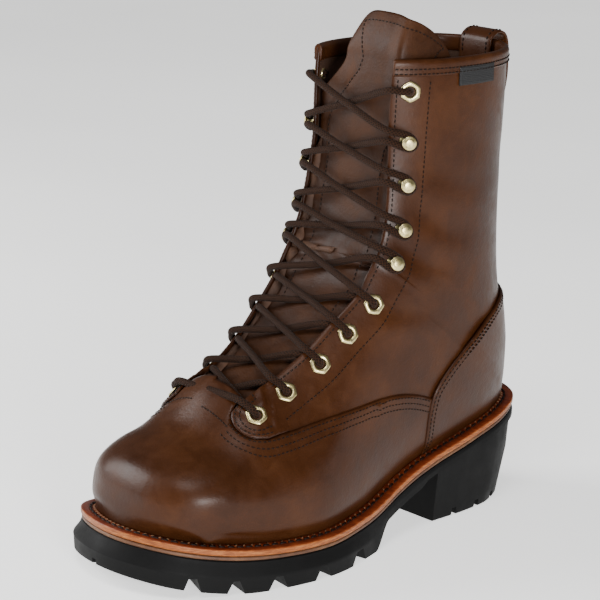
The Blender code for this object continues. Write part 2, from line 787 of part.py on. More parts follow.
def tongue_row(number, share):
    """Outer face of the tongue across a section, from the outer side to the inner side."""
    outer_edge, inner_edge, up = throat_frame(number)
    rows = np.array(TONGUE_TUCK)
    tuck = WALL + float(np.interp(share, rows[:, 0], rows[:, 1]))
    points = []
    for side in (1, -1):
        for step in (1.0, 0.5):
            spot, normal, _ = on_upper(number, side, TONGUE_OVERLAP * step, 24)
            points.append((side, step, spot - normal * tuck))
    lefts = [point for side, step, point in points if side > 0]
    rights = [point for side, step, point in points if side < 0][::-1]
    start = outer_edge - up * tuck
    end = inner_edge - up * tuck
    crown = tuck - TONGUE_SINK
    middle = []
    for share_across in np.arange(0, 2 * TONGUE_ACROSS + 1) / (2 * TONGUE_ACROSS):
        arch = 1.0 - (2.0 * share_across - 1.0) ** 2
        middle.append(start + (end - start) * share_across + up * crown * arch)
    return np.array(lefts + middle + rights)


def build_tongue(leather):
    """One padded sheet behind the lacing, tucked under both flaps, rounded at its free top end."""
    rows = []
    numbers = np.linspace(TONGUE_START, COLLAR_SECTION, TONGUE_ROWS)
    for number in numbers:
        rows.append(tongue_row(number, (number - numbers[0]) / (numbers[-1] - numbers[0])))
    last = rows[-1]
    middle = last.mean(axis=0)
    half = (last[0, 0] - last[-1, 0]) / 2
    for step in range(1, TONGUE_FREE_ROWS + 1):
        share = step / TONGUE_FREE_ROWS
        x = (last[:, 0] - last[:, 0].mean()) / half
        fall = 1.0 - 0.75 * np.abs(x) ** 2.6
        narrow = 1.0 - 0.16 * share * share
        row = last.copy()
        row[:, 0] = last[:, 0].mean() + x * half * narrow
        row[:, 1] = last[:, 1] + 9.0 * share * share
        row[:, 2] = last[:, 2] + TONGUE_RISE * share * fall + 3.0 * share
        rows.append(row)
    grid = np.array(rows)
    down = np.gradient(grid, axis=0)
    over = np.gradient(grid, axis=1)
    normal = np.cross(over, down)
    normal /= np.linalg.norm(normal, axis=2)[..., None]
    centre = grid[len(grid) // 2, grid.shape[1] // 2]
    if normal[len(grid) // 2, grid.shape[1] // 2].dot(centre - np.array([0.0, y_at(0.25), centre[2]])) < 0:
        normal = -normal
    inside = grid - normal * TONGUE_THICKNESS
    high, wide = grid.shape[:2]
    points = np.vstack([grid.reshape(-1, 3), inside.reshape(-1, 3)])
    total = high * wide
    faces = []
    for i in range(high - 1):
        for j in range(wide - 1):
            a, b, c, d = i * wide + j, i * wide + j + 1, (i + 1) * wide + j + 1, (i + 1) * wide + j
            faces.append((a, b, c, d))
            faces.append((total + d, total + c, total + b, total + a))
    border = [(0, j) for j in range(wide)] + [(i, wide - 1) for i in range(1, high)]
    border += [(high - 1, j) for j in range(wide - 2, -1, -1)] + [(i, 0) for i in range(high - 2, 0, -1)]
    ids = [i * wide + j for i, j in border]
    for a, b in zip(ids, ids[1:] + ids[:1]):
        faces.append((b, a, total + a, total + b))
    return add_object("tongue", points, faces, leather)


def build_welt(finish, count=64):
    """Tan strip all round between upper and midsole, with rounded outer corners."""
    corner = 0.9
    rings = (
        (WELT_BREADTH, 0.0), (FEATHER_INSET, 0.0), (corner, 0.0), (0.0, corner),
        (0.0, WELT_THICKNESS - corner), (corner, WELT_THICKNESS), (WELT_BREADTH, WELT_THICKNESS),
    )
    points = []
    for inset, depth in rings:
        loop = lift_loop(plan_loop(count, inset), welt_top)
        loop[:, 2] -= depth
        points.append(loop)
    return add_object("welt", np.vstack(points), stack_faces(count, len(rings), True), finish)


def build_midsole(finish, count=72):
    """Thin dark leather layer under the welt."""
    levels = []
    for depth in (0.0, MIDSOLE_THICKNESS):
        loop = lift_loop(plan_loop(count, MIDSOLE_INSET), midsole_top)
        loop[:, 2] -= depth
        levels.append(loop)
    return add_object("midsole", np.vstack(levels), stack_faces(count, len(levels), False), finish)


def build_insole(finish, count=64):
    """Footbed inside the upper's wall, on the welt."""
    inset = FEATHER_INSET + WALL + 5 * SEAT_GAP
    levels = []
    for height, draw in ((INSOLE_THICKNESS, 0.0), (0.0, 1.0)):
        loop = lift_loop(plan_loop(count, inset + draw), welt_top)
        loop[:, 2] += SEAT_GAP + height
        levels.append(loop)
    return add_object("insole", np.vstack(levels), stack_faces(count, len(levels), False), finish)


def wedge(name, centre, direction, length, breadth, top_breadth, low, high, finish):
    """A groove cutter: a bar lying along a direction, broad at the ground and narrower above."""
    direction = np.array([direction[0], direction[1], 0.0])
    direction /= np.linalg.norm(direction)
    across = np.array([-direction[1], direction[0], 0.0])
    points = []
    for reach in (-0.5, 0.5):
        for half, height in ((-breadth / 2, low), (breadth / 2, low), (top_breadth / 2, high), (-top_breadth / 2, high)):
            point = np.array([centre[0], centre[1], 0.0]) + direction * reach * length + across * half
            point[2] = height
            points.append(point)
    faces = [(0, 1, 2, 3), (4, 5, 6, 7), (0, 1, 5, 4), (1, 2, 6, 5), (2, 3, 7, 6), (3, 0, 4, 7)]
    return add_object(name, points, faces, finish)


def edge_x(along, side):
    loop = plan_loop(460)
    tip = int(np.argmin(loop[:, 1]))
    run = loop[: tip + 1] if side > 0 else np.vstack([loop[tip:], loop[:1]])[::-1]
    return float(np.interp(-y_at(along), -run[:, 1], run[:, 0]))


def tread_cutters(rubber):
    """Side grooves, small edge cuts and the channels beside the middle bars."""
    below = -2.0
    cutters = []
    for number, (along, side, breadth, skew) in enumerate(GROOVES, 1):
        top = float(ground(along)) + LUG_DEPTH
        edge = edge_x(along, side)
        inner = side * CENTRE_BAR
        length = abs(edge - inner) + GROOVE_REACH
        centre = (inner + side * length / 2, y_at(along))
        angle = math.radians(skew)
        direction = (math.cos(angle), math.sin(angle))
        cutters.append(
            wedge(
                f"groove_{number}",
                centre,
                direction,
                length,
                breadth + GROOVE_WIDER,
                breadth - GROOVE_NARROWER,
                below,
                top,
                rubber,
            )
        )
    place, length, wide, narrow, depth = TOE_CUT
    top = float(ground(1.0)) + depth
    cutters.append(wedge("toe_cut", (place, y_at(1.0)), (0.0, 1.0), length, wide, narrow, below, top, rubber))
    length, wide, narrow = CENTRE_CUT_SIZES
    for number, along in enumerate(CENTRE_CUTS, 1):
        top = float(ground(along)) + LUG_DEPTH * 0.85
        centre = (0.0, y_at(along))
        cutters.append(wedge(f"centre_cut_{number}", centre, (1.0, 0.0), length, wide, narrow, below, top, rubber))
    return cutters


def build_outsole(rubber, count=96):
    """Rubber unit: lugged forefoot, thin waist and a layer over the heel block."""
    flare_start = 0.5
    loop_along = along_at(plan_loop(count)[:, 1])
    flare = RUBBER_FLARE * (ease((loop_along - TREAD_START) / 0.15) + 0.7 * ease((loop_along - 0.88) / 0.12))
    levels = []
    for depth, inset in ((0.0, 0.6), (flare_start, -flare * 0.9), (1.0, -flare * 0.75)):
        loop = plan_loop(count, inset)
        along = along_at(plan_loop(count)[:, 1])
        top = rubber_top(along)
        bottom = rubber_underside(along)
        levels.append(np.column_stack([loop, top + (bottom - top) * depth]))
    outsole = add_object("outsole", np.vstack(levels), stack_faces(count, len(levels), False), rubber, 25.0)
    cut(outsole, tread_cutters(rubber))
    return outsole


def build_heel(rubber, count=96):
    """Tall heel block that tapers to the floor, with a straight breast and notches in its ground edge."""
    along = along_at(plan_loop(count)[:, 1])
    half = count // 2
    reach = max(i for i in range(1, half) if max(along[i], along[count - i]) < BREAST_ALONG - 0.015)
    breast_y = y_at(BREAST_ALONG)
    levels = []
    taper = 1.0 - (1.0 - BREAST_TAPER) * ease((along - 0.03) / 0.2)
    ground_inset = HEEL_TOP_INSET + (HEEL_GROUND_INSET - HEEL_TOP_INSET) * taper
    for inset, share in ((HEEL_TOP_INSET, 1.0), (HEEL_TOP_INSET + 0.8, 0.6), (ground_inset, 0.0)):
        loop = plan_loop(count, inset)
        outer = loop[: reach + 1]
        inner = loop[count - reach :]
        corners = np.array([(outer[-1, 0], breast_y), (inner[0, 0], breast_y)])
        ring = np.vstack([outer, corners, inner])
        top = rubber_top(along_at(ring[:, 1])) - HEEL_LAYER - SEAT_GAP
        levels.append(np.column_stack([ring, top * share]))
    total = len(levels[0])
    faces = []
    for level in range(len(levels) - 1):
        for i in range(total):
            j = (i + 1) % total
            low, high = level * total, (level + 1) * total
            faces.append((low + i, low + j, high + j, high + i))
    faces.append(tuple(range((len(levels) - 1) * total, len(levels) * total)))
    faces.append((0, 1, total - 1))
    for i in range(1, reach + 1):
        faces.append((i, i + 1, total - i - 1, total - i))
    heel = add_object("heel", np.vstack(levels), faces, rubber, 25.0)
    cut(heel, heel_cutters(rubber))


def heel_cutters(rubber):
    below = -2.0
    cutters = []
    length, wide, narrow = HEEL_NOTCH_SIZES
    for number, (along, side) in enumerate(HEEL_NOTCHES, 1):
        if side:
            centre = (edge_x(along, side) - side * HEEL_GROUND_INSET, y_at(along))
            direction = (1.0, 0.0)
        else:
            centre = (0.0, y_at(0.0) - HEEL_GROUND_INSET)
            direction = (0.0, 1.0)
        cutters.append(
            wedge(f"heel_notch_{number}", centre, direction, length, wide, narrow, below, HEEL_NOTCH_DEPTH, rubber)
        )
    return cutters


def build_pull_loop(leather):
    """Strap folded over the back of the collar, open at its top."""
    back = section_half(COLLAR_SECTION, 1)[0]
    path = np.array([(back[1] + behind, back[2] + rise) for behind, rise in LOOP_PATH])
    steps = np.linspace(0, len(path) - 1, 2 * len(path) - 1)
    line = np.column_stack([column_curve(path[:, 0], steps), column_curve(path[:, 1], steps)])
    tangent = np.gradient(line, axis=0)
    tangent /= np.linalg.norm(tangent, axis=1)[:, None]
    normal = np.column_stack([-tangent[:, 1], tangent[:, 0]])
    points = []
    for spot, side in zip(line, normal):
        for x, offset in ((-1, -1), (1, -1), (1, 1), (-1, 1)):
            place = spot + side * offset * LOOP_THICKNESS / 2
            points.append((x * LOOP_WIDTH / 2, place[0], place[1]))
    total = len(line)
    faces = [(0, 1, 2, 3), tuple(range(4 * total - 4, 4 * total))]
    for i in range(total - 1):
        for j in range(4):
            k = (j + 1) % 4
            faces.append((4 * i + j, 4 * i + k, 4 * i + 4 + k, 4 * i + 4 + j))
    return add_object("pull_loop", points, faces, leather)


def build_side_tag(cloth):
    """Bare woven tag on the outer side, under the collar's binding."""
    columns = 6
    middle = y_at(0.272)
    levels = []
    for lift in (SEAT_GAP + BINDING_STEP * 0.5, SEAT_GAP + BINDING_STEP * 0.5 + TAG_THICKNESS):
        for row in (0.0, 1.0):
            for i in range(columns + 1):
                y = middle + TAG_LENGTH * (i / columns - 0.5)
                z = collar_height(y) - BINDING_HEIGHT - 1.5 - TAG_HEIGHT * row
                levels.append(np.array([shaft_side_x(y, z) + lift, y, z]))
    wide = columns + 1
    faces = []
    for i in range(columns):
        faces.append((i, i + 1, wide + i + 1, wide + i))
        faces.append((2 * wide + i, 2 * wide + i + 1, 3 * wide + i + 1, 3 * wide + i))
        faces.append((i, i + 1, 2 * wide + i + 1, 2 * wide + i))
        faces.append((wide + i, wide + i + 1, 3 * wide + i + 1, 3 * wide + i))
    for end in (0, columns):
        faces.append((end, wide + end, 3 * wide + end, 2 * wide + end))
    return add_object("side_tag", levels, faces, cloth)


def shaft_side_x(y, z):
    """How far the shaft's outer side stands out at a place."""
    best = None
    for number in np.linspace(COLLAR_SECTION - 3, COLLAR_SECTION, 31):
        curve = section_half(number, 1, 20, 20, 4)
        order = np.argsort(curve[:, 1])
        height = float(np.interp(y, curve[order, 1], curve[order, 2]))
        x = float(np.interp(y, curve[order, 1], curve[order, 0]))
        if best is None or abs(height - z) < best[0]:
            best = (abs(height - z), x)
    return best[1]


def tube(name, path, radius, finish, sides=6):
    """A round cord along a path of points, with flat ends."""
    path = np.asarray(path, float)
    tangent = np.gradient(path, axis=0)
    tangent /= np.linalg.norm(tangent, axis=1)[:, None]
    helper = np.array([0.0, -0.6, 0.8])
    first = np.cross(tangent, helper)
    first /= np.linalg.norm(first, axis=1)[:, None]
    second = np.cross(tangent, first)
    angles = np.arange(sides) * 2 * math.pi / sides
    rings = [
        spot + radius * (np.outer(np.cos(angles), a) + np.outer(np.sin(angles), b))
        for spot, a, b in zip(path, first, second)
    ]
    points = np.vstack(rings)
    total = len(path)
    faces = [tuple(range(sides)), tuple(range((total - 1) * sides, total * sides))]
    for i in range(total - 1):
        for j in range(sides):
            k = (j + 1) % sides
            faces.append((i * sides + j, i * sides + k, (i + 1) * sides + k, (i + 1) * sides + j))
    return add_object(name, points, faces, finish)


def strand_end(station, side, ahead):
    """Points at one end of a strand, from its tip to the flap's edge.

    ahead is 1 where the strand leaves for the next station and -1 where it arrives from the one before.
    It ends below or above the neck of a hook, in the throat short of the flap, or beside its eyelet.
    """
    place, kind = STATIONS[station]
    radius = LACE_DIAMETER / 2
    edge_spot, edge_normal, upward = on_upper(place, side, 0.0)
    last = len(STATIONS) - 1
    if kind == "eyelet" and (station > 0) == (ahead < 0) and station < last:
        inward = np.array([-side * (radius + 2.0), 0.0, 0.0])
        return [edge_spot + inward + upward * ahead * 2.6 - throat_frame(place)[2] * 0.6]
    eye = on_upper(place, side, EYELET_FROM_EDGE)[0]
    reach = seat_of(eye, side) + radius + 1.5 * SEAT_GAP
    shift = 0.0
    from_edge = EYELET_FROM_EDGE - EYELET_FLANGE / 2 - 1.0
    if kind == "hook":
        reach += HOOK_BASE_THICKNESS
        shift = ahead * (HOOK_NECK / 2 + radius + SEAT_GAP)
        from_edge = EYELET_FROM_EDGE - 1.5
    spot, normal, _ = on_upper(place, side, from_edge)
    return [spot + normal * reach + upward * shift, edge_spot + edge_normal * reach + upward * shift]


def cord_line(ends):
    """Points along straight runs between the given points."""
    line = []
    for start, end in zip(ends, ends[1:]):
        pieces = 2 if np.linalg.norm(end - start) < 20.0 else 4
        line += [start + (end - start) * i / pieces for i in range(pieces)]
    return np.array(line + [ends[-1]])


def join(first, second):
    """Adds a second closed object to the first as one solid."""
    second.hide_render = True
    second.display_type = "WIRE"
    boolean = first.modifiers.new(second.name, "BOOLEAN")
    boolean.object = second
    boolean.operation = "UNION"
    boolean.solver = "EXACT"


def build_laces(cord):
    """The bar over the lowest eyelets, and a joined crossing between each pair of stations."""
    radius = LACE_DIAMETER / 2
    bar = strand_end(0, 1, -1) + strand_end(0, -1, -1)[::-1]
    tube("lace_bar", cord_line(bar), radius, cord)
    for station in range(len(STATIONS) - 1):
        halves = []
        for side in (1, -1):
            ends = strand_end(station, side, 1) + strand_end(station + 1, -side, -1)[::-1]
            word = "crossing" if side > 0 else "strand"
            halves.append(tube(f"lace_{word}_{station + 1}", cord_line(ends), radius, cord))
        join(halves[0], halves[1])


def build_fastenings(brass):
    for count, (number, kind) in enumerate(STATIONS, 1):
        for side, word in ((1, "outer"), (-1, "inner")):
            spot, normal, _ = on_upper(number, side, EYELET_FROM_EDGE)
            seat = seat_of(spot, side)
            if kind == "eyelet":
                build_eyelet(f"eyelet_{word}_{count}", spot, normal, seat, brass)
            else:
                build_hook(f"hook_{word}_{count}", spot, normal, seat, brass)


def main():
    clear_scene()
    leather = material("pull_up_leather", (0.10, 0.035, 0.012), 0.35)
    tongue_leather = material("tongue_leather", (0.09, 0.033, 0.013), 0.4)
    welt_leather = material("welt_leather", (0.58, 0.26, 0.10), 0.55)
    midsole_leather = material("midsole_leather", (0.26, 0.13, 0.06), 0.7)
    insole_leather = material("insole_leather", (0.42, 0.27, 0.15), 0.8)
    rubber = material("black_rubber", (0.016, 0.016, 0.017), 0.6)
    brass = material("antique_brass", (0.62, 0.54, 0.32), 0.35, 1.0)
    cord = material("lace_cord", (0.045, 0.024, 0.015), 0.8)
    cloth = material("tag_cloth", (0.03, 0.032, 0.036), 0.85)
    build_upper(leather)
    build_tongue(tongue_leather)
    build_insole(insole_leather)
    build_welt(welt_leather)
    build_midsole(midsole_leather)
    build_outsole(rubber)
    build_heel(rubber)
    build_pull_loop(leather)
    build_side_tag(cloth)
    build_fastenings(brass)
    build_laces(cord)


main()
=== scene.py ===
"""Left logger boot as photographed: waxed brown leather over a welted, lugged rubber sole.

Lengths are in millimetres in the tables and functions, and in metres in the meshes. The toe points to -Y
and the outer side of the boot is +X. "along" is a share of the boot's length from the back of the heel.
"""

import math

import bmesh
import bpy
import numpy as np
from mathutils import Matrix, Vector


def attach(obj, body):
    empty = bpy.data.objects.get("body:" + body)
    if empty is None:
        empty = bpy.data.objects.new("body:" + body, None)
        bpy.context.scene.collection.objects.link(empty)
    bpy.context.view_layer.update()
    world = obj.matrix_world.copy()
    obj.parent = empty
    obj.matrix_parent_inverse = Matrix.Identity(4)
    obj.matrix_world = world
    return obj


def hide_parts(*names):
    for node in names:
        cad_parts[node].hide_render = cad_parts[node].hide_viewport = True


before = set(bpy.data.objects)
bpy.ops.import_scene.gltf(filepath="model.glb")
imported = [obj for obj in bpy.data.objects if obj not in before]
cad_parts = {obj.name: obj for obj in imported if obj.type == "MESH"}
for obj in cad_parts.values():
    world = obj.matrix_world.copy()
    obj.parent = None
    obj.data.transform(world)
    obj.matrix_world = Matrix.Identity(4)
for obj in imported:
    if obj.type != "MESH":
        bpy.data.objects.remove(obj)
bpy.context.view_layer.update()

MM = 0.001

# Driving sizes, as in the part
LENGTH = 300.0
BALL_WIDTH = 120.0
SEAT_HEIGHT = 64.0
TREAD_HEIGHT = 22.4
TOE_SPRING = 10.4
TOE_HEIGHT = 50.0
SHAFT_HEIGHT = 211.0
HEEL_MIDDLE = 45.0
SEAT_GAP = 0.3
FEATHER_INSET = 9.0
WELT_THICKNESS = 4.0
MIDSOLE_THICKNESS = 2.2
WAIST_THICKNESS = 7.5
HEEL_LAYER = 5.0
HEEL_LEAD = 0.03
BREAST_ALONG = 0.292
HEEL_TOP_INSET = 1.6
HEEL_GROUND_INSET = 7.0
RUBBER_FLARE = 2.6
TREAD_START = 0.455
TREAD_FLAT_START = 0.50
TREAD_FLAT_END = 0.80
TOE_CURVE = 1.8
LUG_DEPTH = 7.5
CENTRE_BAR = 17.0
HEEL_NOTCH_DEPTH = 4.5
WALL = 2.6
VAMP_STEP = 1.3
COUNTER_STEP = 2.2
LOBE_STEP = 2.6
LOBE_RADIUS = 13.0
EYELET_FROM_EDGE = 11.0
LACE_DIAMETER = 4.0
QUARTER_THICKNESS = 2.3
VAMP_THICKNESS = 1.5
LOBE_THICKNESS = 1.4
COUNTER_THICKNESS = 1.8
STRIP_THICKNESS = 1.0
STRIP_HALF_WIDTH = 10.5
TONGUE_THICKNESS = 2.6
LOBE_FADE = 22.0
LOOP_HALF_WIDTH = 12.0
LOOP_HALF_THICKNESS = 1.2
TAG_ALONG = 0.272
TAG_HALF_WIDTH = 15.0
TAG_DROP = (3.6, 14.0)

# Stitches: spacing of the upper's seams, and the rows' distances from the edge that they follow
STITCH_SPACING = 2.7
VAMP_ROWS = (1.9, 5.2, 8.5)
JOINED_ROW = 2.4
LOBE_ROWS = (1.9, 4.4)
COUNTER_ROWS = (2.0, 5.0)
FACING_ROWS = ((22.5, 5.5), (3.6, 5.9))
STRIP_ROW = 2.2
COLLAR_ROWS = (3.6, 6.3)
WELT_SEAM_INSET = 5.4
WELT_TICK_INSET = 7.4

# Edge of the welt in plan, from the back of the heel round the outer side and the toe to the inner side.
# Columns: along, share of the ball width to the outer side
WELT_EDGE = (
    (0.000, 0.000), (0.027, 0.215), (0.105, 0.325), (0.200, 0.350), (0.310, 0.362), (0.420, 0.400),
    (0.535, 0.478), (0.645, 0.535), (0.750, 0.520), (0.855, 0.448), (0.945, 0.325), (0.998, 0.110),
    (0.996, -0.120), (0.948, -0.338), (0.853, -0.446), (0.750, -0.470), (0.635, -0.442), (0.505, -0.370),
    (0.390, -0.312), (0.290, -0.302), (0.195, -0.318), (0.105, -0.308), (0.027, -0.212),
)
# Height of the welt's top. Columns: along, share of the heel's lift, share of the toe spring
WELT_RISE = (
    (0.00, 1.000, 0.00), (0.10, 0.860, 0.00), (0.20, 0.670, 0.00), (0.35, 0.400, 0.00), (0.50, 0.085, 0.00),
    (0.60, 0.010, 0.00), (0.72, 0.000, 0.01), (0.86, 0.000, 0.26), (1.00, 0.000, 1.00),
)
# Sections of the upper, fanned from the toe over the instep to the collar.
# Columns: bottom, lean, climb, front, lift, toe, shaft, outer, inner, belly, square, gap
SECTIONS = (
    (0.855, 0.000, 0.000, 0.970, 0.00, 0.41, 0.000, 0.375, 0.333, 0.12, 2.50, 0.133),
    (0.835, 0.000, 0.000, 0.966, 0.00, 0.61, 0.000, 0.404, 0.367, 0.18, 2.50, 0.142),
    (0.810, 0.000, 0.000, 0.943, 0.00, 0.80, 0.000, 0.433, 0.392, 0.22, 2.50, 0.150),
    (0.770, 0.000, 0.000, 0.890, 0.00, 0.96, 0.000, 0.467, 0.417, 0.24, 2.40, 0.163),
    (0.720, 0.000, 0.000, 0.833, 0.00, 1.00, 0.024, 0.488, 0.429, 0.25, 2.20, 0.175),
    (0.600, 0.000, 0.000, 0.772, 0.10, 1.00, 0.087, 0.492, 0.425, 0.25, 2.00, 0.192),
    (0.503, 0.000, 0.000, 0.710, 0.20, 1.00, 0.129, 0.454, 0.379, 0.30, 2.15, 0.208),
    (0.415, 0.000, 0.000, 0.648, 0.35, 1.00, 0.168, 0.413, 0.350, 0.40, 2.45, 0.242),
    (0.320, 0.000, 0.000, 0.590, 0.50, 1.00, 0.217, 0.392, 0.350, 0.50, 2.70, 0.267),
    (0.200, 0.000, 0.000, 0.543, 0.65, 1.00, 0.254, 0.396, 0.371, 0.60, 2.70, 0.288),
    (0.090, 0.000, 0.000, 0.520, 0.80, 1.00, 0.272, 0.398, 0.383, 0.62, 2.80, 0.288),
    (0.038, 0.000, 0.000, 0.512, 0.88, 1.00, 0.275, 0.399, 0.386, 0.62, 2.85, 0.288),
    (0.012, 0.000, 0.000, 0.508, 0.95, 1.00, 0.273, 0.400, 0.388, 0.62, 2.90, 0.288),
    (0.000, 0.000, 0.000, 0.505, 1.00, 1.00, 0.270, 0.400, 0.390, 0.61, 2.90, 0.288),
    (0.000, 0.000, 0.085, 0.498, 1.00, 1.00, 0.303, 0.396, 0.392, 0.60, 2.80, 0.288),
    (0.000, 0.014, 0.199, 0.493, 1.00, 1.00, 0.351, 0.390, 0.388, 0.58, 2.60, 0.283),
    (0.000, 0.040, 0.351, 0.488, 1.00, 1.00, 0.436, 0.383, 0.377, 0.56, 2.40, 0.271),
    (0.000, 0.054, 0.526, 0.485, 1.00, 1.00, 0.536, 0.383, 0.367, 0.54, 2.25, 0.258),
    (0.000, 0.058, 0.701, 0.486, 1.00, 1.00, 0.611, 0.386, 0.362, 0.53, 2.30, 0.258),
    (0.000, 0.058, 0.863, 0.489, 1.00, 1.00, 0.682, 0.386, 0.358, 0.52, 2.35, 0.263),
    (0.000, 0.058, 1.000, 0.492, 1.00, 1.00, 0.744, 0.379, 0.350, 0.51, 2.35, 0.267),
)
LOWER_SQUARE = 2.15
THROAT_SECTION = 4.75
COLLAR_SECTION = len(SECTIONS) - 1
HEEL_FAN = (11.0, 13.8)

# Upper edge of the vamp. Columns: along, height over the welt as a share of the toe height
VAMP_EDGE = (
    (0.300, 0.62), (0.363, 0.88), (0.423, 1.08), (0.477, 1.19), (0.553, 1.23), (0.633, 1.21),
    (0.707, 1.14), (0.767, 1.08), (0.820, 1.02),
)
# Front and upper edge of the heel counter. Columns: height over the seat as a share of the shaft, along
COUNTER_EDGE = (
    (-0.120, 0.322), (-0.050, 0.333), (0.033, 0.342), (0.090, 0.336), (0.142, 0.308), (0.194, 0.266),
    (0.242, 0.218), (0.284, 0.166), (0.308, 0.118), (0.322, 0.050), (0.328, -0.030),
)
# Lace stations up the throat. Columns: section number, kind
STATIONS = (
    (5.05, "eyelet"), (6.05, "eyelet"), (7.10, "eyelet"), (8.05, "eyelet"), (9.10, "eyelet"),
    (13.40, "hook"), (15.20, "hook"), (16.40, "hook"), (17.50, "hook"), (19.00, "eyelet"),
)
# Path of the pull loop. Columns: distance behind the back's outer face, height over the collar's back
LOOP_PATH = (
    (-7.2, -26.0), (-7.2, -12.0), (-7.2, -2.0), (-6.2, 2.6), (-1.2, 5.8), (4.6, 4.8), (7.6, -0.5),
    (8.6, -9.0), (8.8, -20.0), (6.8, -31.0), (3.4, -40.0), (1.8, -47.0), (1.6, -56.0),
)
# Grooves of the forefoot tread. Columns: along, side, breadth at the ground, skew in degrees
GROOVES = (
    (0.916, 1, 8.5, -24.0), (0.843, 1, 7.5, -14.0), (0.765, 1, 8.5, -8.0), (0.672, 1, 8.5, 0.0),
    (0.573, 1, 11.0, 10.0), (0.893, -1, 8.5, 24.0), (0.822, -1, 7.5, 14.0), (0.748, -1, 8.5, 8.0),
    (0.662, -1, 8.5, 0.0), (0.575, -1, 11.0, -10.0),
)
CENTRE_CUTS = (0.860, 0.730, 0.640, 0.540)
HEEL_NOTCHES = ((0.230, 1), (0.158, 1), (0.095, 1), (0.230, -1), (0.158, -1), (0.095, -1), (0.020, 0))


# Curves and the boot's own form


def ease(value):
    """Smooth step from 0 to 1."""
    value = np.clip(value, 0.0, 1.0)
    return value * value * (3.0 - 2.0 * value)


def unit(vectors):
    """Rows of vectors, each over its own length."""
    return vectors / np.linalg.norm(vectors, axis=-1)[..., None]


def run_lengths(points):
    """Length along a line at each of its points, from 0 at the first."""
    return np.concatenate([[0.0], np.cumsum(np.linalg.norm(np.diff(points, axis=0), axis=1))])


def values_at(wanted, places, rows):
    """Rows read off at the wanted places, each column in proportion between its neighbours."""
    return np.stack([np.interp(wanted, places, rows[:, i]) for i in range(rows.shape[1])], axis=1)


def slope_cubic(start, end, slope_start, slope_end, share):
    """Cubic from start to end with a slope at each end.

    The rise is 3 squares of the share less 2 cubes. The end is weighted by the rise, the start by 1 less the
    rise, the first slope by the cube less 2 squares plus the share, the last slope by the cube less the square.
    """
    square = share * share
    cube = square * share
    rise = 3 * square - 2 * cube
    near_start = (1 - rise) * start + (cube - 2 * square + share) * slope_start
    return near_start + rise * end + (cube - square) * slope_end


def cubic(before, start, end, after, share):
    """Cubic from start to end whose end slopes are half the step between their neighbours."""
    return slope_cubic(start, end, (end - before) / 2.0, (after - start) / 2.0, share)


def column_curve(values, place):
    """Smooth curve through values numbered 0, 1, 2 and so on."""
    values = np.asarray(values, float)
    last = len(values) - 1
    place = np.clip(np.asarray(place, float), 0.0, last)
    number = np.minimum(place.astype(int), last - 1)
    padded = np.concatenate([[2 * values[0] - values[1]], values, [2 * values[-1] - values[-2]]])
    return cubic(padded[number], padded[number + 1], padded[number + 2], padded[number + 3], place - number)


def table_curve(places, values, place):
    """Smooth curve through values at uneven places."""
    places = np.asarray(places, float)
    values = np.asarray(values, float)
    slopes = np.gradient(values, places)
    place = np.clip(np.asarray(place, float), places[0], places[-1])
    number = np.clip(np.searchsorted(places, place, side="right") - 1, 0, len(places) - 2)
    span = places[number + 1] - places[number]
    share = (place - places[number]) / span
    start, end = values[number], values[number + 1]
    return slope_cubic(start, end, span * slopes[number], span * slopes[number + 1], share)


def y_at(along):
    """Place in the frame of a share along the boot."""
    return HEEL_MIDDLE - along * LENGTH


def along_at(y):
    """Share along the boot of a place in the frame."""
    return (HEEL_MIDDLE - y) / LENGTH


def welt_top(along):
    """Height of the welt's top: the tread's, plus shares of the heel's lift and of the toe spring."""
    rows = np.array(WELT_RISE)
    lift = table_curve(rows[:, 0], rows[:, 1], along)
    spring = table_curve(rows[:, 0], rows[:, 2], along)
    return TREAD_HEIGHT + lift * (SEAT_HEIGHT - TREAD_HEIGHT) + spring * TOE_SPRING


def midsole_top(along):
    """Height of the midsole's top, a seat gap under the welt."""
    return welt_top(along) - WELT_THICKNESS - SEAT_GAP


def rubber_top(along):
    """Height of the rubber's top, a seat gap under the midsole."""
    return midsole_top(along) - MIDSOLE_THICKNESS - SEAT_GAP


def ground(along):
    """Height of the tread: flat, then up to the toe spring as a power of the share gone ahead."""
    ahead = np.clip((along - TREAD_FLAT_END) / (1.0 - TREAD_FLAT_END), 0.0, None)
    return TOE_SPRING * ahead**TOE_CURVE


def rubber_underside(along):
    """Layer over the heel block, thin waist, then down to the tread."""
    waist = ease((along - BREAST_ALONG - HEEL_LEAD) / HEEL_LEAD)
    under = rubber_top(along) - HEEL_LAYER - (WAIST_THICKNESS - HEEL_LAYER) * waist
    down = ease((along - TREAD_START) / (TREAD_FLAT_START - TREAD_START))
    return under + (ground(along) - under) * down


def plan_loop(count, inset=0.0):
    """Points of the welt's edge in plan, moved inward. Points i and count - i face each other."""
    rows = np.array(WELT_EDGE)
    total = len(rows)
    place = np.arange(count) * total / count
    number = place.astype(int)
    share = (place - number)[:, None]
    before, start, end, after = (rows[(number + step) % total] for step in (-1, 0, 1, 2))
    edge = cubic(before, start, end, after, share)
    points = np.column_stack([edge[:, 1] * BALL_WIDTH, y_at(edge[:, 0])])
    tangent = np.roll(points, -1, axis=0) - np.roll(points, 1, axis=0)
    inward = np.column_stack([tangent[:, 1], -tangent[:, 0]])
    inward /= np.linalg.norm(inward, axis=1)[:, None]
    inset = np.broadcast_to(np.asarray(inset, float), (count,))
    return points + inward * inset[:, None]


FEATHER = plan_loop(920, FEATHER_INSET)
FEATHER_TIP = int(np.argmin(FEATHER[:, 1]))
FEATHER_OUTER = FEATHER[: FEATHER_TIP + 1]
FEATHER_INNER = np.vstack([FEATHER[FEATHER_TIP:], FEATHER[:1]])[::-1]


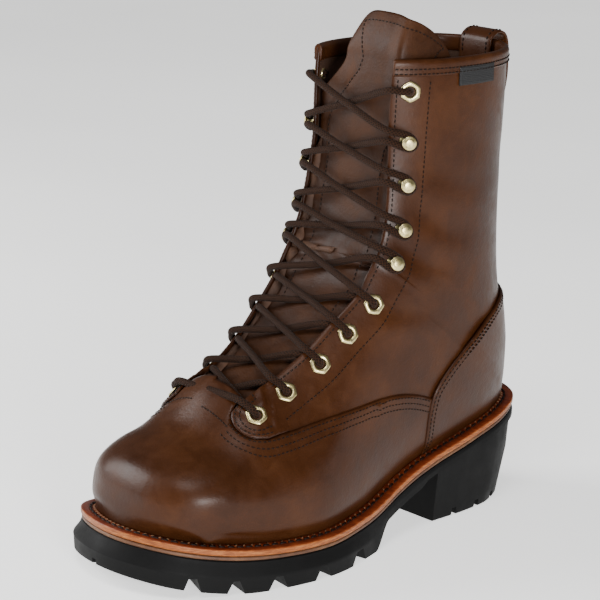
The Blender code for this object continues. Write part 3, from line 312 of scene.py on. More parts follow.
def feather_half_width(y, outer_side):
    """Half-width of the feather line at places along the shoe."""
    outer = np.interp(-y, -FEATHER_OUTER[:, 1], FEATHER_OUTER[:, 0])
    inner = np.interp(-y, -FEATHER_INNER[:, 1], -FEATHER_INNER[:, 0])
    return np.where(outer_side, outer, inner)


def section_point(number, across):
    """Points of the upper's outer face.

    number is the section, from 0 at the toe to the collar's. across runs from 3 on the outer feather over
    2 at the widest place, 1 at the throat's edge and 0 on the front line to -3 on the inner feather. Above
    the widest place a section is a quarter of a superellipse, below it the part of another that ends on the
    feather line or the back line.
    """
    rows = np.array(SECTIONS).T
    bottom, lean, climb, front, lift, toe, shaft, outer, inner, belly, square, gap = (
        column_curve(row, number) for row in rows
    )
    bottom = np.maximum(bottom, 0.0)
    outer_side = across >= 0.0
    level = 3.0 - np.abs(across)
    feather_y = HEEL_MIDDLE - FEATHER_INSET - bottom * LENGTH
    foot_y = feather_y - lean * LENGTH
    foot_z = welt_top(along_at(feather_y)) + SEAT_GAP + climb * SHAFT_HEIGHT
    head_y = y_at(front)
    head_z = TREAD_HEIGHT + lift * (SEAT_HEIGHT - TREAD_HEIGHT) + toe * TOE_HEIGHT + shaft * SHAFT_HEIGHT
    foot_width = np.where(bottom > 0.0, feather_half_width(feather_y, outer_side), 0.0)
    foot_width = np.maximum(foot_width, 0.0)
    width = np.maximum(np.where(outer_side, outer, inner) * BALL_WIDTH, 1.02 * foot_width)
    height = np.hypot(head_y - foot_y, head_z - foot_z)
    belly = belly * height
    end = np.arccos(np.minimum((foot_width / width) ** (LOWER_SQUARE / 2.0), 1.0))
    depth = belly / np.sin(end) ** (2.0 / LOWER_SQUARE)
    turn = end * np.clip(1.0 - level, 0.0, 1.0)
    low_x = width * np.cos(turn) ** (2.0 / LOWER_SQUARE)
    low_u = belly - depth * np.sin(turn) ** (2.0 / LOWER_SQUARE)
    edge = np.arccos((gap * BALL_WIDTH / width) ** (square / 2.0))
    share = np.clip(level - 1.0, 0.0, 2.0)
    turn = np.where(share <= 1.0, edge * share, edge + (math.pi / 2 - edge) * (share - 1.0))
    high_x = width * np.clip(np.cos(turn), 0.0, 1.0) ** (2.0 / square)
    high_u = belly + (height - belly) * np.clip(np.sin(turn), 0.0, 1.0) ** (2.0 / square)
    x = np.where(level < 1.0, low_x, high_x)
    u = np.where(level < 1.0, low_u, high_u)
    x = np.where(outer_side, x, -x)
    y = foot_y + (head_y - foot_y) * u / height
    z = foot_z + (head_z - foot_z) * u / height
    return np.stack([x, y, z], axis=-1)


def toe_feather(across):
    """The feather line round the toe, at the arc shares that the first section has."""
    samples = np.linspace(0.0, 3.0, 241)
    found = np.zeros(across.shape + (3,))
    for side, run in ((1, FEATHER_OUTER), (-1, FEATHER_INNER)):
        first = section_point(np.zeros_like(samples), side * samples)
        steps = run_lengths(first)
        run = run[run[:, 1] <= first[-1, 1] + 0.4][::-1]
        lengths = run_lengths(run)
        mine = across >= 0.0 if side > 0 else across < 0.0
        wanted = np.interp(np.abs(across), samples, steps) / steps[-1] * lengths[-1]
        x = np.interp(wanted, lengths, run[:, 0])
        y = np.interp(wanted, lengths, run[:, 1])
        z = welt_top(along_at(y)) + SEAT_GAP
        found[mine] = np.stack([x, y, z], axis=-1)[mine]
    return found


def base_point(number, across):
    """The upper's outer face, with the toe's front rounded up from the feather line (numbers -1 to 0)."""
    number, across = np.broadcast_arrays(np.asarray(number, float), np.asarray(across, float))
    points = section_point(np.maximum(number, 0.0), across)
    front = number < 0.0
    if front.any():
        share = (number[front] + 1.0)[:, None]
        side = across[front]
        start = toe_feather(side)
        end = section_point(np.zeros_like(side), side)
        slope_end = (section_point(np.full_like(side, 0.05), side) - end) / 0.05
        reach = np.linalg.norm(end - start, axis=1)[:, None]
        slope_end *= np.minimum(1.0, reach / np.maximum(np.linalg.norm(slope_end, axis=1)[:, None], 1e-6))
        slope_start = np.array([0.0, 0.0, 1.1]) * reach
        points[front] = slope_cubic(start, end, slope_start, slope_end, share)
    return points


def base_normal(number, across):
    """Outward normal. Where the sections fan round the heel it is blended from the sections beside."""
    number, across = np.broadcast_arrays(np.asarray(number, float), np.asarray(across, float))
    share = np.clip((number - HEEL_FAN[0]) / (HEEL_FAN[1] - HEEL_FAN[0]), 0.0, 1.0)
    fan = (share > 0.0) & (share < 1.0)
    first = slope_normal(np.where(fan, HEEL_FAN[0], number), across)
    second = slope_normal(np.where(fan, HEEL_FAN[1], number), across)
    share = np.where(fan, share, 0.0)[..., None]
    normal = first * (1.0 - share) + second * share
    return normal / np.maximum(np.linalg.norm(normal, axis=-1), 1e-9)[..., None]


def slope_normal(number, across, step=0.02):
    """Normal from the slopes along and across."""
    low = np.clip(number - step, -1.0, COLLAR_SECTION)
    high = np.clip(number + step, -1.0, COLLAR_SECTION)
    left = np.clip(across - step, -3.0, 3.0)
    right = np.clip(across + step, -3.0, 3.0)
    up = base_point(high, across) - base_point(low, across)
    over = base_point(number, right) - base_point(number, left)
    normal = np.cross(over, up)
    back = (np.abs(across) > 2.9999) & (number > 13.0)
    normal[..., 0] = np.where(back, 0.0, normal[..., 0])
    return normal / np.maximum(np.linalg.norm(normal, axis=-1), 1e-9)[..., None]


def across_at(number, side, from_edge, samples=90):
    """The across value at a distance below the throat's edge, for arrays of sections."""
    number = np.atleast_1d(np.asarray(number, float))
    from_edge = np.broadcast_to(np.asarray(from_edge, float), number.shape)
    places = np.linspace(1.0, 2.9, samples)
    points = base_point(number[:, None], side * places[None, :])
    steps = np.linalg.norm(np.diff(points, axis=1), axis=2)
    steps = np.concatenate([np.zeros((len(number), 1)), np.cumsum(steps, axis=1)], axis=1)
    return side * np.array([np.interp(want, row, places) for want, row in zip(from_edge, steps)])


def edge_place(number, side, from_edge):
    """A point on the upper below the throat's edge, its outward normal and its upward direction."""
    across = across_at(number, side, from_edge)[0]
    spot = base_point(number, across)
    upward = base_point(number + 0.05, across) - spot
    return spot, base_normal(number, across), upward / np.linalg.norm(upward)


# Middles of the quarters' round fronts, at the lowest eyelets: outer, inner
LOBES = [edge_place(STATIONS[0][0], side, EYELET_FROM_EDGE)[0] for side in (1, -1)]


def nearest_lobe(points):
    """The middle of the lobe on each point's own side."""
    return np.where(points[..., :1] >= 0.0, LOBES[0], LOBES[1])


def soft_least(first, second, breadth):
    """Smaller of two distances, with a rounded joint."""
    blend = np.clip(0.5 + 0.5 * (second - first) / breadth, 0.0, 1.0)
    return second + (first - second) * blend - breadth * blend * (1.0 - blend)


def vamp_field(points, joined=False):
    """Distance in front of or below the quarter's edge: over 0 on the vamp, under 0 on the quarter.

    joined measures straight across in front of the throat, as the seam rows run.
    """
    rows = np.array(VAMP_EDGE)
    along = along_at(points[..., 1])
    edge = welt_top(along) + table_curve(rows[:, 0], rows[:, 1], along) * TOE_HEIGHT
    lobe = nearest_lobe(points)
    band = soft_least(points[..., 2] - edge, (along_at(lobe[..., 1]) - along) * LENGTH, 0.5)
    reach = np.linalg.norm(points - lobe, axis=-1)
    if joined:
        ahead = (lobe[..., 1] - points[..., 1]) * 1.12
        reach = np.where(np.abs(points[..., 0]) < np.abs(lobe[..., 0]), ahead, reach)
        return soft_least(reach - LOBE_RADIUS, -band, 7.0)
    return soft_least(reach - LOBE_RADIUS, -band, 3.0)


def counter_field(points):
    """Distance inside the counter's edge: over 0 on the counter."""
    rows = np.array(COUNTER_EDGE)
    height = (points[..., 2] - SEAT_HEIGHT) / SHAFT_HEIGHT
    edge = table_curve(rows[:, 0], rows[:, 1], height)
    slope = (table_curve(rows[:, 0], rows[:, 1], height + 0.01) - edge) / 0.01 * LENGTH / SHAFT_HEIGHT
    distance = (edge - along_at(points[..., 1])) * LENGTH / np.hypot(1.0, slope)
    over_top = (rows[-1, 0] - height) * SHAFT_HEIGHT
    return np.minimum(distance, over_top)


def collar_drop(points):
    """Distance below the collar's edge."""
    front = section_point(np.array(float(COLLAR_SECTION)), np.array(0.0))
    back = section_point(np.array(float(COLLAR_SECTION)), np.array(3.0))
    share = (points[..., 1] - front[1]) / (back[1] - front[1])
    return front[2] + (back[2] - front[2]) * share - points[..., 2]


# Soft creases and swells. Columns: start along and height, end along and height, side, depth, breadth
CREASES = (
    (0.300, 150.0, 0.470, 176.0, 1, 1.1, 7.0),
    (0.240, 168.0, 0.430, 196.0, 1, 0.9, 8.0),
    (0.200, 196.0, 0.400, 216.0, 1, 0.7, 9.0),
    (0.330, 132.0, 0.520, 140.0, 1, 0.8, 7.0),
    (0.600, 92.0, 0.690, 64.0, 1, 0.6, 6.0),
    (0.680, 88.0, 0.730, 58.0, 1, 0.5, 6.0),
    (0.100, 205.0, 0.300, 236.0, 1, 0.6, 10.0),
    (0.300, 150.0, 0.470, 176.0, -1, 1.1, 7.0),
    (0.240, 172.0, 0.430, 200.0, -1, 0.9, 8.0),
    (0.330, 130.0, 0.520, 142.0, -1, 0.9, 7.0),
    (0.600, 92.0, 0.690, 62.0, -1, 0.7, 6.0),
    (0.690, 88.0, 0.740, 56.0, -1, 0.5, 6.0),
)


def crease_depth(points):
    """Sum of soft troughs, each a bell across a straight run in side view, faded at its ends."""
    total = np.zeros(points.shape[:-1])
    y = points[..., 1]
    z = points[..., 2]
    for start_along, start_z, end_along, end_z, side, depth, breadth in CREASES:
        start = np.array([y_at(start_along), start_z])
        run = np.array([y_at(end_along), end_z]) - start
        length = np.linalg.norm(run)
        run /= length
        along_run = ((y - start[0]) * run[0] + (z - start[1]) * run[1]) / length
        off = -(y - start[0]) * run[1] + (z - start[1]) * run[0]
        off = off - 2.0 * np.sin(along_run * math.pi)
        bell = np.exp(-((off / breadth) ** 2)) - 0.6 * np.exp(-(((off - 1.5 * breadth) / breadth) ** 2))
        fade = ease(along_run / 0.3) * ease((1.0 - along_run) / 0.3)
        total += depth * bell * fade * ease(points[..., 0] * side / 12.0)
    return total


def lobe_rise(points):
    """1 on the lobes and at the quarter's front, eased to 0 over LOBE_FADE behind."""
    return ease((nearest_lobe(points)[..., 1] + LOBE_FADE - points[..., 1]) / LOBE_FADE)


def wrinkle_height(points):
    """Puckers pulled up by the seam: short ridges that cross the seam and fade 22 mm above it."""
    lobe = nearest_lobe(points)
    offset = points - lobe
    reach = np.linalg.norm(offset, axis=-1)
    angle = np.arctan2(offset[..., 2], offset[..., 1])
    ring = np.exp(-(((reach - 9.5) / 3.0) ** 2)) * np.sin(7.0 * angle + 0.35 * reach)
    depth = -vamp_field(points)
    near = ease((depth - 0.5) / 3.0) * ease((22.0 - depth) / 16.0)
    behind = ease((offset[..., 1] + 2.0) / 8.0) * ease((62.0 - offset[..., 1]) / 22.0)
    run = offset[..., 1] - 0.55 * offset[..., 2]
    folds = np.sin(run * 0.95 + 1.6 * np.sin(run * 0.23 + points[..., 2] * 0.11))
    folds = folds * (0.6 + 0.4 * np.sin(run * 0.37))
    return 0.2 * ring + 0.55 * near * behind * folds


def above_welt(points):
    """0 at the feather line, 1 from 11 mm above the welt."""
    return ease((points[..., 2] - welt_top(along_at(points[..., 1])) - 1.0) / 10.0)


def upper_lift(points):
    """Relief that the whole upper shares: its creases, and the toe's foot made more upright."""
    along = along_at(points[..., 1])
    toe = ease((along - 0.62) / 0.2)
    height = points[..., 2] - welt_top(along)
    upright = 1.4 * ease(height / 15.0) * ease((36.0 - height) / 20.0)
    side = (1.4 + 2.2 * np.exp(-(((along - 0.863) / 0.07) ** 2))) * ease((np.abs(points[..., 0]) - 20.0) / 26.0)
    tucked = side * ease(height / 5.0) * ease((28.0 - height) / 20.0)
    return -crease_depth(points) - toe * (upright + tucked)


# Meshes


def add_mesh(name, points, groups, finishes, marks=None, uv=None):
    """A mesh from points in millimetres and arrays of faces with equal corner counts.

    marks holds a value for each point under a name that a material reads.
    """
    mesh = bpy.data.meshes.new(name)
    mesh.vertices.add(len(points))
    mesh.vertices.foreach_set("co", (np.asarray(points, np.float64) * MM).astype(np.float32).ravel())
    groups = [np.asarray(group, np.int32) for group in groups if len(group)]
    sizes = np.concatenate([np.full(len(group), group.shape[1]) for group in groups])
    loops = np.concatenate([group.ravel() for group in groups]).astype(np.int32)
    starts = np.concatenate([[0], np.cumsum(sizes)[:-1]]).astype(np.int32)
    mesh.loops.add(len(loops))
    mesh.loops.foreach_set("vertex_index", loops)
    mesh.polygons.add(len(sizes))
    mesh.polygons.foreach_set("loop_start", starts)
    mesh.update(calc_edges=True)
    for mark, values in (marks or {}).items():
        layer = mesh.attributes.new(mark, "FLOAT", "POINT")
        layer.data.foreach_set("value", np.asarray(values, np.float32).ravel())
    if uv is not None:
        layer = mesh.uv_layers.new(name="run")
        layer.data.foreach_set("uv", np.asarray(uv, np.float32)[loops].ravel())
    mesh.shade_smooth()
    made = bpy.data.objects.new(name, mesh)
    for finish in finishes:
        mesh.materials.append(finish)
    bpy.context.scene.collection.objects.link(made)
    return made


def grid_faces(rows, columns, close_rows=False, close_columns=False, start=0):
    """Quads of a grid whose points are stored row by row."""
    i = np.arange(rows if close_rows else rows - 1)[:, None]
    j = np.arange(columns if close_columns else columns - 1)[None, :]
    i2 = (i + 1) % rows
    j2 = (j + 1) % columns
    quads = np.stack([i * columns + j, i * columns + j2, i2 * columns + j2, i2 * columns + j], axis=-1)
    return quads.reshape(-1, 4) + start


def face_outward(piece, join=False):
    """Turns a closed piece's faces outward, after joining points that coincide where join is set."""
    body = bmesh.new()
    body.from_mesh(piece.data)
    if join:
        bmesh.ops.remove_doubles(body, verts=body.verts, dist=1e-7)
    bmesh.ops.recalc_face_normals(body, faces=body.faces)
    body.to_mesh(piece.data)
    body.free()


def relax(points, numbers, acrosses, hold=1.0, times=60):
    """Evens out the form where the toe's front joins its sides and where the sections fan round the heel.

    Each step moves a point half way to the middle of its four neighbours, weighted by the two zones.
    """
    reach = np.abs(acrosses)
    toe = ease((3.0 - numbers) / 2.0) * ease((reach - 0.9) / 0.5)
    heel = ease((numbers - 10.4) / 0.8) * ease((14.6 - numbers) / 0.8) * ease((reach - 1.6) / 0.3)
    weight = (np.maximum(toe, heel) * hold)[1:-1, 1:-1, None] * 0.5
    for _ in range(times):
        middle = (points[:-2, 1:-1] + points[2:, 1:-1] + points[1:-1, :-2] + points[1:-1, 2:]) / 4.0
        points[1:-1, 1:-1] += (middle - points[1:-1, 1:-1]) * weight
    return points


def solidify(piece, thickness, inner_slot=0):
    """Gives a skin its thickness inward, with another finish inside where a slot is named."""
    wall = piece.modifiers.new("wall", "SOLIDIFY")
    wall.thickness = thickness * MM
    wall.offset = -1.0
    wall.use_even_offset = False
    wall.material_offset = inner_slot
    return wall


def settle(piece, node):
    """Puts a piece on the boot's one body, in a CAD node's place."""
    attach(piece, "root")
    nodes = [node] if isinstance(node, str) else list(node or [])
    if nodes:
        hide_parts(*nodes)
    return piece


def place_along(first, last, steps, extra=()):
    """Even places with extra ones among them."""
    return np.unique(np.round(np.concatenate([np.linspace(first, last, steps), np.array(extra, float)]), 6))


def cut_grid(numbers, acrosses, field):
    """A grid on the upper trimmed where a distance field falls under 0.

    On each grid edge that the border crosses, the nearer end is slid onto the border by Newton steps, then
    only faces without a point outside are kept, as quads or as the half that lies inside.
    """
    rows, columns = np.meshgrid(numbers, acrosses, indexing="ij")
    rows = rows.copy()
    columns = columns.copy()
    value = field(base_point(rows, columns))
    snap = np.zeros(value.shape, bool)
    for near, far in (((slice(None, -1), slice(None)), (slice(1, None), slice(None))),
                      ((slice(None), slice(None, -1)), (slice(None), slice(1, None)))):
        crossing = value[near] * value[far] < 0.0
        first = np.abs(value[near]) <= np.abs(value[far])
        snap[near] |= crossing & first
        snap[far] |= crossing & ~first
    cell_number = np.gradient(numbers)[:, None] * np.ones_like(value)
    cell_across = np.abs(np.gradient(acrosses))[None, :] * np.ones_like(value)
    home = rows[snap], columns[snap]
    cells = cell_number[snap], cell_across[snap]
    n, a = home[0].copy(), home[1].copy()
    h = 0.01
    for _ in range(5):
        here = field(base_point(n, a))
        slope_n = (field(base_point(n + h, a)) - field(base_point(n - h, a))) / (2 * h) * cells[0]
        slope_a = (field(base_point(n, a + h)) - field(base_point(n, a - h))) / (2 * h) * cells[1]
        pull = -here / np.maximum(slope_n**2 + slope_a**2, 1e-6)
        n = np.clip(n + pull * slope_n * cells[0], home[0] - 0.7 * cells[0], home[0] + 0.7 * cells[0])
        a = np.clip(a + pull * slope_a * cells[1], home[1] - 0.7 * cells[1], home[1] + 0.7 * cells[1])
    rows[snap] = np.clip(n, -1.0, COLLAR_SECTION)
    columns[snap] = np.clip(a, -3.0, 3.0)
    value[snap] = 0.0
    faces = grid_faces(*value.shape)
    flat = value.ravel()
    outside = flat[faces] < 0.0
    whole = faces[~outside.any(axis=1)]
    halves = []
    for corner in range(4):
        alone = outside.sum(axis=1) == 1
        chosen = faces[alone & outside[:, corner]]
        halves.append(np.delete(chosen, corner, axis=1))
    halves = np.vstack(halves)
    inside_any = (flat[halves] > 0.0).any(axis=1)
    halves = halves[inside_any]
    whole = whole[(flat[whole] > 0.0).any(axis=1)]
    return rows, columns, np.maximum(value, 0.0), whole, halves


def keep_used(points, groups, *values):
    """Drops points that no face uses."""
    used = np.unique(np.concatenate([group.ravel() for group in groups]))
    renumber = np.full(len(points), -1)
    renumber[used] = np.arange(len(used))
    return (points[used], [renumber[group] for group in groups]) + tuple(value[used] for value in values)


def panel(name, numbers, acrosses, field, lift, thickness, finishes, node=None):
    """A leather panel over the upper: trimmed grid, lifted off the base, with a rounded cut edge."""
    rows, columns, inside, whole, halves = cut_grid(numbers, acrosses, field)
    points = base_point(rows, columns)
    normals = base_normal(rows, columns)
    raised = lift(points) + upper_lift(points)
    skived = 0.35 * (1.0 - ease(inside / 1.1))
    shaped = relax(points + normals * (raised - skived)[..., None], rows, columns, ease((inside - 0.5) / 3.0))
    flat_points, groups, edge = keep_used(shaped.reshape(-1, 3), [whole, halves], inside.ravel())
    piece = add_mesh(name, flat_points, groups, finishes, {"edge": edge})
    solidify(piece, thickness)
    return settle(piece, node)


# Lines on the upper and what is sewn along them


def trace(field, level, numbers, acrosses):
    """The longest run of the line where a field has a value, as section numbers and across values.

    Each grid cell that the line crosses joins two crossed edges, and the joins are walked end to end.
    """
    rows, columns = np.meshgrid(numbers, acrosses, indexing="ij")
    value = field(base_point(rows, columns)) - level
    high, wide = value.shape
    crossings = {}
    for kind, (di, dj) in enumerate(((1, 0), (0, 1))):
        first = value[: high - di, : wide - dj]
        second = value[di:, dj:]
        for i, j in np.argwhere(first * second < 0.0):
            share = first[i, j] / (first[i, j] - second[i, j])
            n = rows[i, j] + (rows[i + di, j + dj] - rows[i, j]) * share
            a = columns[i, j] + (columns[i + di, j + dj] - columns[i, j]) * share
            crossings[(kind, i, j)] = (n, a)
    links = {key: [] for key in crossings}
    for i in {key[1] for key in crossings} | {key[1] - 1 for key in crossings}:
        for j in {key[2] for key in crossings if abs(key[1] - i) <= 1} | {
            key[2] - 1 for key in crossings if abs(key[1] - i) <= 1
        }:
            around = [key for key in ((0, i, j), (0, i, j + 1), (1, i, j), (1, i + 1, j)) if key in crossings]
            if len(around) == 2:
                links[around[0]].append(around[1])
                links[around[1]].append(around[0])
    best = []
    left = set(crossings)
    while left:
        ends = [key for key in left if len(links[key]) == 1] or list(left)
        key = min(ends)
        run = []
        while key is not None:
            run.append(key)
            left.discard(key)
            key = next((other for other in links[key] if other in left), None)
        if len(run) > len(best):
            best = run
    return np.array([crossings[key] for key in best])


def resample(line, spacing, lift):
    """Even points along a line on the upper, with tangents and normals."""
    points = base_point(line[:, 0], line[:, 1])
    steps = run_lengths(points)
    count = max(int(steps[-1] / spacing), 2)
    wanted = (np.arange(count) + 0.5) * steps[-1] / count
    numbers, acrosses = values_at(wanted, steps, line).T
    spots = base_point(numbers, acrosses)
    normals = base_normal(numbers, acrosses)
    spots = spots + normals * (lift(spots) + upper_lift(spots))[:, None]
    return spots, unit(np.gradient(spots, axis=0)), normals


def only(run, keep):
    """The stitches of a run that stand where keep is true."""
    return tuple(part[keep] for part in run)


def stitch_parts(spots, tangents, normals, length=1.9, width=0.75, height=0.45):
    """Points and faces of stitches: each a small six-sided grain that lies half sunk along the line."""
    over = unit(np.cross(normals, tangents))
    stations = np.array([-0.5, -0.32, 0.32, 0.5])
    swell = np.array([0.35, 1.0, 1.0, 0.35])
    angles = np.arange(6) * math.pi / 3.0
    along = stations[:, None] * length * np.ones(6)
    side = swell[:, None] * np.cos(angles) * width / 2
    up = swell[:, None] * np.sin(angles) * height - 0.3 * (1.0 - swell[:, None]) * height
    points = (
        spots[:, None, None, :]
        + along[None, :, :, None] * tangents[:, None, None, :]
        + side[None, :, :, None] * over[:, None, None, :]
        + up[None, :, :, None] * normals[:, None, None, :]
    )
    each = points.reshape(len(spots), -1, 3)
    ends = np.array([[0, 3, 2, 1], [0, 5, 4, 3], [18, 19, 20, 21], [18, 21, 22, 23]])
    faces = np.vstack([grid_faces(4, 6, close_columns=True), ends])
    shift = (np.arange(len(spots)) * each.shape[1])[:, None, None]
    return each.reshape(-1, 3), (faces[None] + shift).reshape(-1, 4)


def sew(name, runs, finish, slot, **sizes):
    """All stitches of several runs as one joined mesh."""
    all_points, all_faces, total = [], [], 0
    for spots, tangents, normals in runs:
        points, faces = stitch_parts(spots, tangents, normals, **sizes)
        all_points.append(points)
        all_faces.append(faces + total)
        total += len(points)
    piece = add_mesh(name, np.vstack(all_points), [np.vstack(all_faces)], [finish])
    return settle(piece, None)


# Finishes


def linear(code, strength=1.0):
    """Linear colour of an sRGB hex value."""
    parts = [int(code[i : i + 2], 16) / 255.0 for i in (1, 3, 5)]
    light = [part / 12.92 if part <= 0.04045 else ((part + 0.055) / 1.055) ** 2.4 for part in parts]
    return tuple(strength * part for part in light) + (1.0,)


def add_node(tree, kind, inputs=None, **settings):
    """Adds a node with its settings, and links or sets its inputs."""
    made = tree.nodes.new(kind)
    for key, value in settings.items():
        setattr(made, key, value)
    for key, value in (inputs or {}).items():
        if isinstance(value, bpy.types.NodeSocket):
            tree.links.new(value, made.inputs[key])
        else:
            made.inputs[key].default_value = value
    return made


def new_finish(name, roughness, **inputs):
    """A material with its shader's inputs set, and the place on the boot that its patterns follow."""
    made = bpy.data.materials.new(name)
    made.use_nodes = True
    tree = made.node_tree
    shader = tree.nodes["Principled BSDF"]
    shader.inputs["Roughness"].default_value = roughness
    for key, value in inputs.items():
        shader.inputs[key.replace("_", " ")].default_value = value
    place = add_node(tree, "ShaderNodeTexCoord").outputs["Object"]
    return made, tree, shader, place


def dress(tree, shader, **patterns):
    """Links each pattern to the shader's input of its name."""
    for key, value in patterns.items():
        tree.links.new(value, shader.inputs[key.replace("_", " ")])


def noise(tree, place, scale, detail, roughness=0.5, distortion=0.0):
    """Cloudy grey pattern. The scale counts its lumps in a metre."""
    inputs = {"Vector": place, "Scale": scale, "Detail": detail}
    inputs |= {"Roughness": roughness, "Distortion": distortion}
    return add_node(tree, "ShaderNodeTexNoise", inputs).outputs["Fac"]


def remap(tree, value, low, high, to_low, to_high):
    """A grey carried in proportion from one range to another and held at its ends."""
    inputs = {"Value": value, 1: low, 2: high, 3: to_low, 4: to_high}
    return add_node(tree, "ShaderNodeMapRange", inputs).outputs[0]


def blend(tree, share, first, second):
    """Two greys mixed by a share."""
    return add_node(tree, "ShaderNodeMix", {0: share, 2: first, 3: second}, data_type="FLOAT").outputs[0]


def blend_colours(tree, share, first, second):
    """Two colours mixed by a share."""
    return add_node(tree, "ShaderNodeMix", {0: share, 6: first, 7: second}, data_type="RGBA").outputs[2]


def calculate(tree, operation, *values):
    """One sum of greys."""
    return add_node(tree, "ShaderNodeMath", dict(enumerate(values)), operation=operation).outputs[0]


def bump(tree, height, strength, distance, below=None):
    """Relief from a grey pattern, its distance in metres, over the relief below where one is given."""
    inputs = {"Strength": strength, "Distance": distance, "Height": height}
    if below is not None:
        inputs["Normal"] = below
    return add_node(tree, "ShaderNodeBump", inputs).outputs[0]


def ramp(tree, factor, stops):
    """Colour read off between stops, each a grey and an sRGB hex value."""
    made = add_node(tree, "ShaderNodeValToRGB", {"Fac": factor})
    elements = made.color_ramp.elements
    while len(elements) < len(stops):
        elements.new(0.5)
    for element, (position, code) in zip(elements, stops):
        element.position = position
        element.color = linear(code)
    return made.outputs["Color"]


def waxed_leather(name, stops, roughness=0.38, coat=0.1, edged=False, grain=1.0):
    """Waxed pull-up cowhide: oily brown that clouds lighter where it was pulled, fine pores, soft gloss."""
    made, tree, shader, place = new_finish(
        name, roughness, Coat_Weight=coat, Coat_Roughness=0.28, Specular_IOR_Level=0.12
    )
    # Clouds of the dressing are about 45 mm across, streaks from the hide 12 mm
    clouds = noise(tree, place, 22.0, 5.0, 0.55)
    streaks = noise(tree, place, 85.0, 4.0, 0.6, 0.8)
    colour = ramp(tree, blend(tree, 0.35, clouds, streaks), stops)
    if edged:
        # Burnished dark line within a millimetre of the cut edge
        edge = add_node(tree, "ShaderNodeAttribute", attribute_name="edge").outputs["Fac"]
        colour = blend_colours(tree, remap(tree, edge, 0.0, 1.1, 0.45, 1.0), linear("#1d0b04"), colour)
    # Pores about 1 mm apart, drawn a little coarser than real so that they show, and hide wrinkles of 4 mm
    pores = add_node(tree, "ShaderNodeTexVoronoi", {"Vector": place, "Scale": 850.0, "Randomness": 1.0})
    pitted = bump(tree, pores.outputs["Distance"], 0.22 * grain, 0.0002)
    hide = noise(tree, place, 260.0, 5.0, 0.6)
    dress(
        tree, shader, Base_Color=colour,
        Roughness=remap(tree, streaks, 0.3, 0.7, roughness - 0.07, roughness + 0.1),
        Normal=bump(tree, hide, 0.3 * grain, 0.0006, pitted),
    )
    return made


def plain_leather(name, stops, roughness, scale=300.0, strength=0.4):
    """Undressed or split leather: matte, with a soft nap."""
    made, tree, shader, place = new_finish(name, roughness)
    nap = noise(tree, place, scale, 6.0, 0.7)
    broad = noise(tree, place, 40.0, 3.0)
    colour = ramp(tree, blend(tree, 0.4, broad, nap), stops)
    dress(tree, shader, Base_Color=colour, Normal=bump(tree, nap, strength, 0.0004))
    return made


def welt_finish():
    """Vegetable-tanned welt: the top stained red brown, the trimmed edge pale tan with fine fibre lines."""
    made, tree, shader, place = new_finish(
        "veg_tan_welt", 0.45, Coat_Weight=0.05, Coat_Roughness=0.3, Specular_IOR_Level=0.25
    )
    top = add_node(tree, "ShaderNodeAttribute", attribute_name="top").outputs["Fac"]
    # The fibres lie level, so their pattern is squeezed in height
    level = add_node(tree, "ShaderNodeMapping", {"Vector": place, "Scale": (1.0, 1.0, 9.0)}).outputs[0]
    fibres = noise(tree, level, 180.0, 5.0, 0.65)
    edge = ramp(tree, fibres, ((0.3, "#5a2c11"), (0.5, "#884a20"), (0.7, "#a66a38")))
    stain = ramp(tree, fibres, ((0.3, "#4a1808"), (0.5, "#64260e"), (0.7, "#7c3718")))
    colour = blend_colours(tree, top, edge, stain)
    dress(tree, shader, Base_Color=colour, Normal=bump(tree, fibres, 0.35, 0.0004))
    return made


def moulded_rubber():
    """Moulded black rubber: matte, faintly dusty, with a fine mould texture."""
    made, tree, shader, place = new_finish("moulded_rubber", 0.7, Specular_IOR_Level=0.12)
    dust = noise(tree, place, 60.0, 6.0, 0.65)
    grit = noise(tree, place, 900.0, 3.0)
    dress(
        tree, shader, Base_Color=ramp(tree, dust, ((0.3, "#090909"), (0.6, "#0d0d0d"), (0.8, "#131313"))),
        Roughness=remap(tree, dust, 0.3, 0.7, 0.55, 0.75), Normal=bump(tree, grit, 0.25, 0.0002),
    )
    return made


def antique_brass():
    """Lacquered antique brass: pale gold, duller and rougher in small clouds of tarnish."""
    made, tree, shader, place = new_finish("antique_brass", 0.3, Metallic=1.0)
    tarnish = noise(tree, place, 420.0, 4.0, 0.6)
    dress(
        tree, shader, Base_Color=ramp(tree, tarnish, ((0.3, "#a0905f"), (0.55, "#cdbf8c"), (0.75, "#e3d9b0"))),
        Roughness=remap(tree, tarnish, 0.3, 0.7, 0.4, 0.24),
    )
    return made


def braided_lace():
    """Round braided polyester lace: two sets of strands crossing along the cord's own run."""
    made, tree, shader, _ = new_finish(
        "braided_lace", 0.8, Specular_IOR_Level=0.1, Sheen_Weight=0.03, Sheen_Roughness=0.4
    )
    run = add_node(tree, "ShaderNodeUVMap", uv_map="run").outputs["UV"]
    # The run's first value turns once round the cord, the second counts millimetres
    strands = []
    for turn in (1.0, -1.0):
        inputs = {0: run, 1: (6.0 * turn, 0.55, 0.0)}
        skew = add_node(tree, "ShaderNodeVectorMath", inputs, operation="DOT_PRODUCT")
        strands.append(calculate(tree, "SINE", calculate(tree, "MULTIPLY", skew.outputs["Value"], 2 * math.pi)))
    # The colour follows the strands' relief: painted shade in the grooves between them and painted highlight on
    # their crowns
    level = remap(tree, calculate(tree, "MAXIMUM", *strands), -1.0, 1.0, 0.0, 1.0)
    dress(
        tree, shader, Base_Color=ramp(tree, level, ((0.0, "#0e0704"), (0.6, "#1d1008"), (1.0, "#2d1a0f"))),
        Normal=bump(tree, level, 0.7, 0.0005),
    )
    return made


def sewing_thread(name, code, roughness=0.55):
    """Waxed sewing thread, twisted so finely that only its sheen shows, painted into its colour as lighter and
    darker patches.
    """
    made, tree, shader, place = new_finish(name, roughness, Specular_IOR_Level=0.15)
    # Painted sheen: random lighter and darker patches of the thread's colour, at the size of the twist
    twist_sheen = noise(tree, place, 1500.0, 2.0)
    dress(tree, shader, Base_Color=blend_colours(tree, twist_sheen, linear(code, 0.6), linear(code, 1.3)))
    return made


